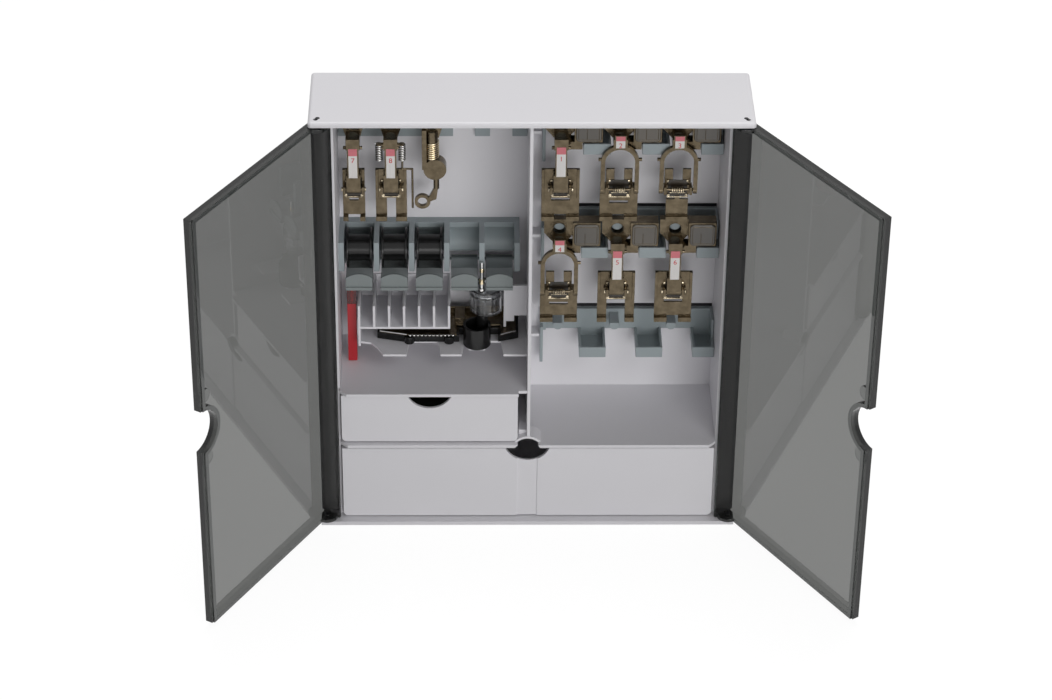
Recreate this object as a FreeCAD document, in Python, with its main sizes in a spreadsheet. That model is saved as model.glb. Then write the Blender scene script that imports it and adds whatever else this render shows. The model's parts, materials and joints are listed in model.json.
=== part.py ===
"""Sewing accessory cabinet: a white two-door case with drawers, holders and presser feet.

X points right, Y into the cabinet and Z up.  X = 0 is the middle of the case, Y = 0 the front
edge of the roof and of the base plate, and Z = 0 the face that the case stands on.  All sizes
are millimetres.  The rest pose has both doors open and both drawers pushed in.
"""
import FreeCAD, Part
import os
import re
import Sketcher

VECTOR = FreeCAD.Vector
SIZES = {
    # case
    "cabinet_wide": 250.0,
    "cabinet_high": 278.0,
    "cabinet_deep": 69.0,
    "roof_thick": 3.0,
    "roof_bevel_deep": 11.0,
    "roof_bevel_drop": 7.0,
    "roof_edge_round": 2.0,
    "base_inset": 1.0,
    "base_thick": 2.5,
    "skin_thick": 2.0,
    "back_thick": 2.5,
    "side_box_wide": 13.8,
    "liner_thick": 2.0,
    "liner_front_y": 9.5,
    "web_thick": 2.0,
    "lug_long": 4.0,
    "lug_deep": 9.0,
    "lug_thick": 2.0,
    # partitions
    "divider_thick": 2.0,
    "divider_front_y": 6.0,
    "apron_gap": 0.6,
    "apron_off_wall": 26.5,
    "apron_lift": 10.9,
    "apron_under_key": 7.9,
    "apron_step_x": 7.5,
    "apron_step_high": 4.0,
    "apron_drop": 4.0,
    "apron_flange": 3.0,
    "small_drawer_bay": 36.7,
    "deck_thick": 2.0,
    "shelf_front_y": 2.4,
    "shelf_step_x": 6.0,
    "shelf_corner": 4.0,
    "left_shelf_drop": 15.8,
    "left_shelf_thick": 2.0,
    "arch_radius": 10.0,
    "arch_wall": 1.6,
    "arch_deep": 12.0,
    "arch_drop": 6.1,
    "finger_x": -0.5,
    # doors and hinges
    "pivot_inset": 4.4,
    "pivot_y": 4.6,
    "left_door_angle": 121.15,
    "right_door_angle": 123.07,
    "door_face_reach": 5.0,
    "door_panel_thick": 2.0,
    "door_rim_deep": 3.5,
    "door_rim_wide": 2.6,
    "door_flange_thick": 1.6,
    "door_flange_deep": 12.0,
    "door_gap": 0.5,
    "door_edge_step": 1.0,
    "swing_gap": 0.4,
    "door_notch_radius": 14.0,
    "door_notch_z": 136.7,
    "catch_radius": 4.2,
    "catch_thick": 1.4,
    "catch_offset": 21.0,
    "knuckle_radius": 6.4,
    "knuckle_thick": 2.0,
    "hinge_pin_radius": 1.3,
    "hinge_pin_sink": 0.8,
    "hinge_fit": 0.05,
    "pin_seat_fit": 0.01,
    # drawers
    "drawer_fit": 0.5,
    "drawer_front_y": 5.6,
    "drawer_front_thick": 2.0,
    "drawer_wall": 1.8,
    "drawer_back_gap": 2.5,
    "drawer_under_gap": 0.7,
    "large_drawer_top_gap": 2.4,
    "drawer_corner_round": 3.0,
    "finger_notch_radius": 14.0,
    "finger_notch_rise": 5.0,
    "finger_notch_deep": 9.0,
    "channel_wide": 12.0,
    "channel_sink": 0.8,
    "large_partition_inset": 19.2,
    "partition_drop": 13.0,
    "small_drawer_right_x": -6.4,
    "small_drawer_top_gap": 1.1,
    "pad_radius": 22.0,
    "pad_thick": 3.0,
    # extension feet
    "foot_bar_wide": 8.2,
    "foot_bar_high": 9.0,
    "foot_bar_front_y": 22.0,
    "foot_lip_thick": 2.0,
    "foot_lip_over": 1.0,
    "foot_fit": 0.4,
    # peg rows
    "peg_row_drop": 28.0,
    "peg_row_pitch": 70.0,
    "peg_first_x": 17.7,
    "peg_end_room": 9.71,
    "peg_wide": 6.0,
    "peg_top": 2.0,
    "peg_reach": 15.5,
    "holder_thick": 3.0,
    "holder_back_reach": 10.0,
    "holder_top_reach": 4.0,
    "holder_left_x": 7.3,
    "holder_end_gap": 0.3,
    "cup_offset": 12.7,
    "cup_end_gap": 5.3,
    "cup_reach": 22.5,
    "cup_wall": 1.4,
    "cup_top": 9.0,
    "cup_bottom": 16.0,
    "clip_wide": 1.8,
    "clip_reach": 6.5,
    "left_peg_inset": 9.5,
    "left_second_step": 21.6,
    "left_third_step": 23.6,
    "left_plate_drop": 16.8,
    "left_plate_reach": 12.1,
    "left_tab_step": 24.8,
    "left_tab_wide": 8.7,
    # presser feet
    "head_proud": 2.8,
    "head_thick": 5.0,
    "head_half_wide": 9.0,
    "head_top": 6.0,
    "head_bottom": 9.0,
    "clamp_top": 7.0,
    "head_hole_radius": 3.6,
    "head_hole_drop": 0.2,
    "clamp_left": 7.6,
    "clamp_end_gap": 1.0,
    "clamp_bottom": 8.6,
    "clamp_proud": 6.0,
    "tab_high": 4.6,
    "tab_deep": 8.0,
    "tab_reach": 12.2,
    "clamp_deep": 3.5,
    "clamp_frame": 2.4,
    "clamp_window_high": 7.5,
    "clamp_window_sink": 1.0,
    "neck_half_wide": 4.0,
    "neck_face_half": 3.3,
    "neck_proud": 10.3,
    "neck_ear_radius": 1.05,
    "neck_ear_reach": 1.5,
    "neck_thick": 2.6,
    "neck_bottom": 30.0,
    "ankle_set_back": 2.9,
    "ankle_drop": 39.0,
    "ankle_radius": 2.4,
    "ankle_half_wide": 4.2,
    "ankle_pin_radius": 0.9,
    "ankle_fit": 0.06,
    "ankle_side_gap": 0.4,
    "sole_set_back": 3.0,
    "sole_thick": 1.6,
    "sole_top": 27.3,
    "sole_bottom": 61.3,
    "sole_half_wide": 11.0,
    "sole_rail_wide": 1.6,
    "sole_rail_rise": 1.0,
    "sole_lug_thick": 1.6,
    "sole_toe_rise": 2.0,
    "sole_toe_high": 3.0,
    "needle_slot_drop": 46.6,
    "needle_slot_high": 1.8,
    "needle_slot_half": 5.4,
    "toe_gap_half": 3.4,
    "toe_gap_high": 3.6,
    "fork_outer": 11.0,
    "fork_arm_wide": 2.4,
    "fork_arch_drop": 8.6,
    "narrow_sole_half": 7.6,
    "narrow_toe_half": 6.4,
    "narrow_bridge_drop": 44.0,
    "narrow_toe_drop": 47.5,
    "fork_ear_drop": 18.0,
    "fork_neck_top": 1.8,
    "stem_half": 1.4,
    "slim_head_half": 5.7,
    "slim_sole_half": 6.4,
    "slim_slot_half": 2.6,
    "guide_spring_radius": 1.7,
    "guide_spring_x": 6.6,
    "guide_spring_top": 7.6,
    "guide_spring_bottom": 18.4,
    "guide_wire_radius": 0.6,
    "guide_wire_x": 12.4,
    "guide_wire_drop": 24.4,
    "guide_wire_bottom": 50.4,
    "hopping_barrel_radius": 3.6,
    "hopping_barrel_drop": 24.0,
    "drum_radius": 6.6,
    "drum_x": 1.7,
    "drum_drop": 29.0,
    "drum_thick": 7.0,
    "plunger_x": 2.4,
    "plunger_radius": 1.7,
    "plunger_fit": 0.08,
    "plunger_top": 31.0,
    "plunger_bottom": 43.0,
    "plunger_travel": 4.0,
    "ring_x": -5.7,
    "ring_drop": 51.8,
    "ring_radius": 4.6,
    "ring_wall": 1.8,
    "ring_thick": 2.4,
    "ring_arm_half": 1.0,
    # bobbin rack
    "rack_end_room": 8.7,
    "rack_wall": 3.1,
    "rack_drop": 73.4,
    "rack_high": 19.6,
    "rack_reach": 29.0,
    "rack_bar_deep": 6.0,
    "bobbin_off_wall": 16.0,
    "bobbin_radius": 12.0,
    "bobbin_hub_radius": 8.0,
    "bobbin_side_gap": 1.2,
    "bobbin_flange": 1.3,
    "bobbin_bore": 1.9,
    "bobbin_rest_gap": 0.3,
    "bobbin_fit": 0.6,
    "key_end_gap": 4.9,
    "key_overhang": 6.5,
    "key_drop": 23.2,
    "key_thick": 2.0,
    "key_pivot_off_wall": 5.5,
    "key_barrel_radius": 2.2,
    "key_pin_radius": 0.9,
    "key_lip_thick": 1.5,
    "key_lip_rise": 3.6,
    "key_arch_radius": 12.0,
    "key_arch_rise": 3.0,
    "key_strip_high": 2.0,
    "key_strip_proud": 1.0,
    "key_skirt": 1.2,
    # needle rack and tray
    "needle_rack_inset": 10.6,
    "needle_rack_gap": 7.6,
    "needle_floor_drop": 30.4,
    "needle_rack_reach": 36.5,
    "needle_rib_high": 14.5,
    "thin_wall": 1.5,
    "tray_drop": 13.5,
    "tray_reach": 31.1,
    "tray_tab_long": 14.4,
    "tray_tab_inset": 25.2,
    "tray_first_tab_wide": 14.0,
    "tray_tab_step": 20.0,
    "tray_second_tab_wide": 12.5,
    "tray_third_tab_x": -15.0,
    "tray_tool_tab_long": 8.0,
    "tool_tab_half": 5.0,
    # tools
    "long_foot_inset": 21.7,
    "long_foot_right_x": -6.0,
    "long_foot_wide": 26.0,
    "long_foot_off_wall": 6.5,
    "long_foot_body_high": 4.6,
    "long_foot_nose": 4.0,
    "slide_front_proud": 1.0,
    "slide_room_left": 2.35,
    "slide_room_right": 4.35,
    "cup_room_deep": 0.8,
    "slide_thick": 1.2,
    "slide_rail_high": 3.4,
    "tooth_off_cup": 32.55,
    "taper_to_teeth": 2.3,
    "tooth_pitch": 2.3,
    "tooth_long": 1.5,
    "knob_radius": 3.0,
    "knob_off_cup": 8.35,
    "knob_spacing": 23.5,
    "tool_lean": 2.85,
    "tool_off_wall": 33.5,
    "tool_cup_radius": 8.15,
    "tool_cup_high": 13.3,
    "tool_stem_radius": 3.5,
    "tool_stem_x": 3.0,
    "tool_stem_y": 3.5,
    "tool_stem_high": 6.0,
    "tool_barrel_lean": 2.65,
    "tool_barrel_back": 8.0,
    "tool_barrel_radius": 9.6,
    "tool_barrel_high": 15.5,
    "nozzle_radius": 1.1,
    "nozzle_back": 2.5,
    "nozzle_high": 20.0,
    "nozzle_seat_radius": 2.0,
    "nozzle_seat_high": 2.4,
    "ripper_inset": 6.9,
    "ripper_off_wall": 25.9,
    "ripper_wide": 5.3,
    "ripper_deep": 5.3,
    "ripper_handle_high": 40.0,
    "ripper_blade_radius": 1.0,
    "ripper_cap_high": 10.0,
    "ripper_cap_wall": 0.7,
    "rest_gap": 0.3,
}
# Sizes and places that follow from the named ones.
PLACES = {
    "liner_x": "cabinet_wide / 2 - side_box_wide",
    "wall_y": "cabinet_deep - back_thick",
    "roof_flat_deep": "cabinet_deep - roof_bevel_deep",
    "peg_row_top_z": "cabinet_high - peg_row_drop",
    "rack_top_z": "peg_row_top_z - rack_drop",
    "rack_wall_bottom_z": "rack_top_z - rack_high",
    "key_top_z": "rack_top_z - key_drop",
    "key_lip_top_z": "key_top_z + key_lip_rise",
    "needle_floor_z": "key_top_z - needle_floor_drop",
    "tray_top_z": "needle_floor_z - tray_drop",
    "apron_low_z": "tray_top_z + apron_lift",
    "apron_high_z": "key_top_z - apron_under_key",
    "left_shelf_top_z": "tray_top_z - left_shelf_drop",
    "small_drawer_top_z": "left_shelf_top_z - left_shelf_thick - small_drawer_top_gap",
    "deck_top_z": "left_shelf_top_z - small_drawer_bay",
    "partition_top_z": "deck_top_z - partition_drop",
    "peg_pitch": "(liner_x - peg_end_room) / 3",
    "clamp_right": "peg_pitch - head_half_wide - clamp_end_gap",
    "clamp_window_wide": "clamp_right - clamp_left - 2 * clamp_frame",
    "cup_wide": "peg_pitch - cup_offset - cup_end_gap",
    "left_peg_first_x": "left_peg_inset - liner_x",
    "left_peg_second_x": "left_peg_first_x + left_second_step",
    "left_peg_third_x": "left_peg_second_x + left_third_step",
    "left_plate_right_x": "left_peg_third_x + left_plate_reach",
    "left_tab_x": "left_peg_third_x + left_tab_step",
    "rack_pitch": "(liner_x - rack_end_room) / 5",
    "bobbin_wide": "rack_pitch - rack_wall - 2 * bobbin_side_gap",
    "key_wide": "rack_pitch - key_end_gap",
    "nozzle_x": "rack_wall / 2 - liner_x + 4 * rack_pitch",
    "tool_x": "nozzle_x - tool_lean",
    "tool_barrel_x": "nozzle_x + tool_barrel_lean",
    "apron_left_x": "tool_barrel_x + tool_barrel_radius + apron_gap",
    "needle_rack_left_x": "needle_rack_inset - liner_x",
    "needle_rack_right_x": "tool_x - tool_cup_radius - needle_rack_gap",
    "long_foot_left_x": "long_foot_inset - liner_x",
    "tooth_first_x": "tool_x - tool_cup_radius - tooth_off_cup",
    "taper_end_x": "tooth_first_x - taper_to_teeth",
    "knob_second_x": "tool_x - tool_cup_radius - knob_off_cup",
    "knob_first_x": "knob_second_x - knob_spacing",
    "tray_first_tab_x": "tray_tab_inset - liner_x",
    "tray_first_tab_end_x": "tray_first_tab_x + tray_first_tab_wide",
    "tray_second_tab_x": "tray_first_tab_end_x + tray_tab_step",
    "tray_second_tab_end_x": "tray_second_tab_x + tray_second_tab_wide",
    "ripper_x": "ripper_inset - liner_x",
    "small_notch_x": "(small_drawer_right_x + drawer_fit - liner_x) / 2",
    "large_partition_x": "liner_x - large_partition_inset",
    "peg_tip_y": "wall_y - peg_reach",
    "holder_front_y": "wall_y - holder_thick",
    "cup_front_y": "holder_front_y - cup_reach",
    "clip_front_y": "holder_front_y - clip_reach",
    "head_front_y": "peg_tip_y - head_proud",
    "clamp_front_y": "head_front_y - clamp_proud",
    "neck_front_y": "head_front_y - neck_proud",
    "ankle_y": "neck_front_y + ankle_set_back",
    "sole_front_y": "ankle_y + sole_set_back",
    "rack_front_y": "wall_y - rack_reach",
    "rack_bar_y": "wall_y - rack_bar_deep",
    "bobbin_y": "wall_y - bobbin_off_wall",
    "key_front_y": "rack_front_y - key_overhang",
    "key_pivot_y": "wall_y - key_pivot_off_wall",
    "needle_rack_front_y": "wall_y - needle_rack_reach",
    "apron_y": "wall_y - apron_off_wall",
    "tray_front_y": "wall_y - tray_reach",
    "tray_tab_y": "tray_front_y - tray_tab_long",
    "tray_tool_tab_y": "tray_front_y - tray_tool_tab_long",
    "long_foot_back_y": "wall_y - long_foot_off_wall",
    "long_foot_front_y": "long_foot_back_y - long_foot_wide",
    "tool_y": "wall_y - tool_off_wall",
    "cup_room_y": "tool_y + tool_cup_radius + cup_room_deep",
    "ripper_y": "wall_y - ripper_off_wall",
    "pad_y": "(drawer_front_y + drawer_front_thick + wall_y - drawer_back_gap - drawer_wall) / 2",
}
PEG_ROWS = 3
PEGS_A_ROW = 3
KEY_COUNT = 5
BOBBIN_COUNT = 3
NEEDLE_RIBS = 7
TOOTH_COUNT = 12
RIGHT = 1
LEFT = -1

doc = FreeCAD.newDocument("accessory_cabinet")
sheet = doc.addObject("Spreadsheet::Sheet", "dims")
ALIASES = list(SIZES) + list(PLACES)
CELLS = [str(value) for value in SIZES.values()] + ["=" + formula for formula in PLACES.values()]
for row, (alias, content) in enumerate(zip(ALIASES, CELLS), start=1):
    sheet.set("A%d" % row, alias)
    sheet.set("B%d" % row, content)
    sheet.setAlias("B%d" % row, alias)
doc.recompute()

WORD = re.compile(r"[a-z][a-z_0-9]*")
pieces = []

# Places that several sub-parts share, written as expressions of the sheet's sizes.
HALF = "cabinet_wide / 2"
SKIN_X = "(%s - skin_thick)" % HALF
ROOF_UNDER = "(cabinet_high - roof_thick)"
PIVOT_X = "(%s - pivot_inset)" % HALF
SWING = "sqrt(pivot_inset ^ 2 + (door_flange_deep - door_face_reach) ^ 2)"
WEB_Y = "(pivot_y + %s + swing_gap)" % SWING
BEVEL_SLOPE = "(roof_bevel_drop / (cabinet_deep - roof_flat_deep))"
KEY_PIVOT_Z = "(key_top_z - key_thick)"
BOBBIN_Z = "(key_top_z + bobbin_rest_gap + bobbin_radius)"
RACK_X = "(rack_wall / 2 - liner_x)"
STAND_Z = "(tray_top_z + rest_gap)"
FOOT_LOW_X = "(liner_x + liner_thick + foot_fit)"


def bound(text):
    """Return an expression with every size's alias tied to the sheet."""
    def tie(match):
        word = match.group()
        return "dims." + word if word in ALIASES else word
    return WORD.sub(tie, text)


def number(text):
    """Return the present value of an expression."""
    return float(sheet.evalExpression(bound(text)))


def box(name, low, high):
    """Add a box between two corners given as expressions."""
    solid = doc.addObject("Part::Box", name)
    for size, axis, near, far in zip(("Length", "Width", "Height"), "xyz", low, high):
        solid.setExpression("Placement.Base." + axis, bound(near))
        solid.setExpression(size, bound("(%s) - (%s)" % (far, near)))
    return solid


def rod(name, along, centre, radius, low, high):
    """Add a cylinder along an axis; centre gives its two other coordinates in X, Y, Z order."""
    solid = doc.addObject("Part::Cylinder", name)
    turns = {"x": (VECTOR(0, 1, 0), 90), "y": (VECTOR(1, 0, 0), -90), "z": (VECTOR(0, 0, 1), 0)}
    axis, angle = turns[along]
    solid.Placement.Rotation = FreeCAD.Rotation(axis, angle)
    others = [letter for letter in "xyz" if letter != along]
    for letter, place in zip(others, centre):
        solid.setExpression("Placement.Base." + letter, bound(place))
    solid.setExpression("Placement.Base." + along, bound(low))
    solid.setExpression("Radius", bound(radius))
    solid.setExpression("Height", bound("(%s) - (%s)" % (high, low)))
    return solid


def pad(name, plane, outline, low, high):
    """Add a PartDesign body: a closed outline on an origin plane, padded from low to high.

    The outline's points are (x, y), (x, z) or (y, z) for the XY, XZ and YZ planes.
    """
    body = doc.addObject("PartDesign::Body", name)
    sketch = body.newObject("Sketcher::SketchObject", name + "_outline")
    planes = [each for each in body.Origin.OriginFeatures if each.Role == plane + "_Plane"]
    sketch.AttachmentSupport = [(planes[0], "")]
    sketch.MapMode = "FlatFace"
    places = [VECTOR(number(across), number(up), 0) for across, up in outline]
    count = len(outline)
    for index in range(count):
        sketch.addGeometry(Part.LineSegment(places[index], places[(index + 1) % count]), False)
    for index in range(count):
        sketch.addConstraint(Sketcher.Constraint("Coincident", index, 2, (index + 1) % count, 1))
    for index, point in enumerate(outline):
        for kind, text, at in zip(("DistanceX", "DistanceY"), point, places[index]):
            rule = sketch.addConstraint(Sketcher.Constraint(kind, -1, 1, index, 1, at))
            sketch.setExpression("Constraints[%d]" % rule, bound(text))
    feature = body.newObject("PartDesign::Pad", name + "_pad")
    feature.Profile = sketch
    feature.setExpression("Length", bound("(%s) - (%s)" % (high, low)))
    normal = {"XY": "z", "XZ": "y", "YZ": "x"}[plane]
    start = high if plane == "XZ" else low
    body.setExpression("Placement.Base." + normal, bound(start))
    return body


def round_edges(body, radius, chosen):
    """Fillet the edges of a padded body whose middle point passes the test."""
    doc.recompute()
    tip = body.Tip
    names = []
    for index, edge in enumerate(body.Shape.Edges, start=1):
        middle = edge.CenterOfMass
        if chosen(middle, edge.BoundBox):
            names.append("Edge%d" % index)
    fillet = body.newObject("PartDesign::Fillet", body.Name + "_round")
    fillet.Base = (tip, names)
    fillet.setExpression("Radius", bound(radius))
    body.Tip = fillet
    return body


def fuse(name, solids):
    """Join solids into one."""
    joined = doc.addObject("Part::MultiFuse", name)
    joined.Shapes = solids
    joined.Refine = True
    return joined


def cut(name, base, tools):
    """Take one or several tools away from a base."""
    result = doc.addObject("Part::Cut", name)
    result.Base = base
    result.Tool = tools[0] if len(tools) == 1 else fuse(name + "_tools", tools)
    result.Refine = True
    return result


def common(name, one, other):
    """Keep what two solids share."""
    result = doc.addObject("Part::Common", name)
    result.Base = one
    result.Tool = other
    return result


def group(name, solids):
    """Gather separate solids in one sub-part."""
    gathered = doc.addObject("Part::Compound", name)
    gathered.Links = solids
    return gathered


def place(solid, across, into, up):
    """Put a sub-part that was built about its own origin where it belongs."""
    for axis, text in zip("xyz", (across, into, up)):
        solid.setExpression("Placement.Base." + axis, bound(text))
    return solid


def piece(node, solid):
    """Label a finished sub-part with its node's name."""
    solid.Label = node
    pieces.append(solid)
    return solid


def span(side, near, far):
    """Return the low and high ends of a stretch that lies near to far on one side of X = 0."""
    if side == RIGHT:
        return near, far
    return "-(%s)" % far, "-(%s)" % near


def beside(side, low_x, high_x, lows, highs):
    """Return the corners of a box on one side, from its distances from X = 0."""
    near, far = span(side, low_x, high_x)
    return (near,) + lows, (far,) + highs


def side_name(side):
    return "right" if side == RIGHT else "left"


def under_bevel(y):
    """Height of the roof's underside at a depth on the rear bevel."""
    return "(%s - ((%s) - roof_flat_deep) * %s)" % (ROOF_UNDER, y, BEVEL_SLOPE)


def wall_outline(front_y, bottom_z, back_y):
    """Side view of an upright wall that ends under the roof and its rear bevel."""
    return [
        (front_y, bottom_z), (back_y, bottom_z), (back_y, under_bevel(back_y)),
        ("roof_flat_deep", ROOF_UNDER), (front_y, ROOF_UNDER),
    ]


def peg_row_z(row):
    return "(peg_row_top_z - %d * peg_row_pitch)" % row


# ---------------------------------------------------------------- case

def make_roof():
    outline = [
        ("0", ROOF_UNDER), ("0", "cabinet_high"), ("roof_flat_deep", "cabinet_high"),
        ("cabinet_deep", "cabinet_high - roof_bevel_drop"),
        ("cabinet_deep", "cabinet_high - roof_bevel_drop - roof_thick"),
        ("roof_flat_deep", ROOF_UNDER),
    ]
    slab = pad("roof_slab", "YZ", outline, "-(%s)" % HALF, HALF)
    top = number("cabinet_high")
    half = number(HALF)
    deep = number("cabinet_deep")

    def on_rim(middle, bounds):
        at_side = abs(abs(middle.x) - half) < 0.01
        on_front = abs(middle.y) < 0.01 and middle.z > top - 0.01
        on_top = at_side and bounds.ZMin > top - 0.01
        on_corner = at_side and bounds.YMax < 0.01
        on_bevel = at_side and bounds.ZMax > top - 0.01 and bounds.YMax > deep - 0.01
        return on_front or on_top or on_corner or on_bevel

    round_edges(slab, "roof_edge_round", on_rim)
    holes = [pin_hole("roof", side, ROOF_UNDER, "cabinet_high") for side in (LEFT, RIGHT)]
    piece("roof", cut("roof_cut", slab, holes))


def pin_hole(name, side, low, high):
    """Seat of a hinge pin in the roof or the base plate."""
    x = "%d * %s" % (side, PIVOT_X)
    hole = "%s_%s_pin_hole" % (name, side_name(side))
    return rod(hole, "z", (x, "pivot_y"), "hinge_pin_radius + pin_seat_fit", low, high)


def foot_slot(name, side, low_z, high_z):
    """Room for an extension foot, open to the back."""
    low, high = beside(
        side, "%s - foot_fit" % FOOT_LOW_X, "%s + foot_bar_wide + foot_fit" % FOOT_LOW_X,
        ("foot_bar_front_y - 2 * foot_fit", low_z), ("cabinet_deep", high_z))
    return box("%s_%s_foot_slot" % (name, side_name(side)), low, high)


def make_base_plate():
    half = "(%s - base_inset)" % HALF
    plate = box("base_slab", ("-" + half, "0", "0"), (half, "cabinet_deep", "base_thick"))
    tools = []
    for side in (LEFT, RIGHT):
        tools.append(pin_hole("base", side, "0", "base_thick"))
        tools.append(foot_slot("base", side, "0", "base_thick"))
    piece("base_plate", cut("base_cut", plate, tools))


def make_back_panel():
    outline = [
        ("wall_y", "base_thick"), ("cabinet_deep", "base_thick"),
        ("cabinet_deep", under_bevel("cabinet_deep")), ("wall_y", under_bevel("wall_y")),
    ]
    panel = pad("back_slab", "YZ", outline, "-" + SKIN_X, SKIN_X)
    slots = [foot_slot("back", side, "base_thick", "foot_bar_high + foot_fit") for side in (LEFT, RIGHT)]
    piece("back_panel", cut("back_cut", panel, slots))


def make_side_wall(side):
    name = side_name(side)
    low, high = span(side, SKIN_X, HALF)
    skin = pad(name + "_skin", "YZ", wall_outline(WEB_Y, "base_thick", "cabinet_deep"), low, high)
    low, high = span(side, "liner_x", "liner_x + liner_thick")
    liner = pad(name + "_liner", "YZ", wall_outline("liner_front_y", "base_thick", "wall_y"), low, high)
    corners = beside(
        side, "liner_x + liner_thick / 2", SKIN_X + " + skin_thick / 2",
        (WEB_Y, "base_thick"), (WEB_Y + " + web_thick", ROOF_UNDER))
    parts = [skin, liner, box(name + "_web", *corners)]
    if side == RIGHT:
        parts += [row_lug(name, row, "liner_x - lug_long", "liner_x",
                          "cup_bottom") for row in range(PEG_ROWS)]
    piece(name + "_side_wall", fuse(name + "_wall", parts))


def row_lug(name, row, low_x, high_x, drop):
    """Ledge under one end of a peg holder."""
    top = "(%s - %s)" % (peg_row_z(row), drop)
    return box("%s_lug_%d" % (name, row + 1), (low_x, "wall_y - lug_deep", top + " - lug_thick"),
               (high_x, "wall_y", top))


def make_divider():
    half = "divider_thick / 2"
    wall = pad("divider_wall", "YZ", wall_outline("divider_front_y", "deck_top_z", "wall_y"), "-" + half,
               half)
    lugs = [row_lug("divider", row, half, "holder_left_x - rest_gap", "holder_back_reach")
            for row in range(PEG_ROWS)]
    rail = box(
        "drawer_rail",
        ("small_drawer_right_x + drawer_fit", "divider_front_y + 2 * divider_thick", "deck_top_z"),
        ("0", "wall_y", "deck_top_z + 3 * divider_thick"))
    arch = rod(
        "divider_arch", "y", ("finger_x", "deck_top_z - arch_drop"), "arch_radius",
        "0", "divider_front_y + arch_deep")
    apron = [
        box("apron_panel", ("apron_left_x", "apron_y", "apron_low_z"),
            ("0", "apron_y + thin_wall", "apron_high_z")),
        box("apron_flange", ("apron_left_x", "apron_y", "apron_low_z - apron_drop"),
            ("apron_left_x + thin_wall", "apron_y + apron_flange", "apron_high_z")),
    ]
    apron_room = box("apron_room", ("-divider_thick / 2 - apron_step_x", "apron_y", "apron_low_z"),
                     ("-divider_thick / 2", "apron_y + thin_wall", "apron_low_z + apron_step_high"))
    solids = [wall, rail] + apron + lugs
    piece("divider", cut("divider_cut", fuse("divider_solid", solids), [arch, apron_room]))


def shelf_outline(right_x, right_corner):
    """Plan of the front of a shelf that steps back behind the doors' free edges."""
    return [
        ("-liner_x", "wall_y"), ("-liner_x", "shelf_front_y + shelf_corner"),
        ("-liner_x + shelf_corner", "shelf_front_y"), ("-shelf_step_x", "shelf_front_y"),
        ("-shelf_step_x", "divider_front_y"),
    ] + right_corner + [(right_x, "wall_y")]


def make_middle_deck():
    low_z = "deck_top_z - deck_thick"
    right_corner = [
        ("shelf_step_x", "divider_front_y"), ("shelf_step_x", "shelf_front_y"),
        ("liner_x - shelf_corner", "shelf_front_y"), ("liner_x", "shelf_front_y + shelf_corner"),
    ]
    slab = pad("deck_slab", "XY", shelf_outline("liner_x", right_corner), low_z, "deck_top_z")
    centre = ("finger_x", "deck_top_z - arch_drop")
    hump = rod("arch_outer", "y", centre, "arch_radius", "divider_front_y", "divider_front_y + arch_deep")
    above = box(
        "arch_above", ("finger_x - arch_radius", "0", low_z),
        ("finger_x + arch_radius", "cabinet_deep", "deck_top_z + arch_radius"))
    hollow = rod("arch_inner", "y", centre, "arch_radius - arch_wall", "0",
                 "divider_front_y + arch_deep - arch_wall")
    solid = fuse("deck_solid", [slab, common("arch_hump", hump, above)])
    piece("middle_deck", cut("deck_cut", solid, [hollow]))


def make_left_shelf():
    corner = [("-divider_thick / 2", "divider_front_y")]
    outline = shelf_outline("-divider_thick / 2", corner)
    shelf = pad("left_shelf_slab", "XY", outline, "left_shelf_top_z - left_shelf_thick", "left_shelf_top_z")
    piece("left_shelf", shelf)


def make_hinge_pins():
    low_end = "hinge_pin_sink"
    low_tip = "base_thick + door_gap + knuckle_thick"
    high_tip = ROOF_UNDER + " - door_gap - knuckle_thick"
    high_end = "cabinet_high - hinge_pin_sink"
    pins = []
    for side in (LEFT, RIGHT):
        centre = ("%d * %s" % (side, PIVOT_X), "pivot_y")
        name = side_name(side)
        pins.append(rod(name + "_low_pin", "z", centre, "hinge_pin_radius", low_end, low_tip))
        pins.append(rod(name + "_high_pin", "z", centre, "hinge_pin_radius", high_tip, high_end))
    piece("hinge_pins", group("hinge_pin_set", pins))


# ---------------------------------------------------------------- doors

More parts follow.
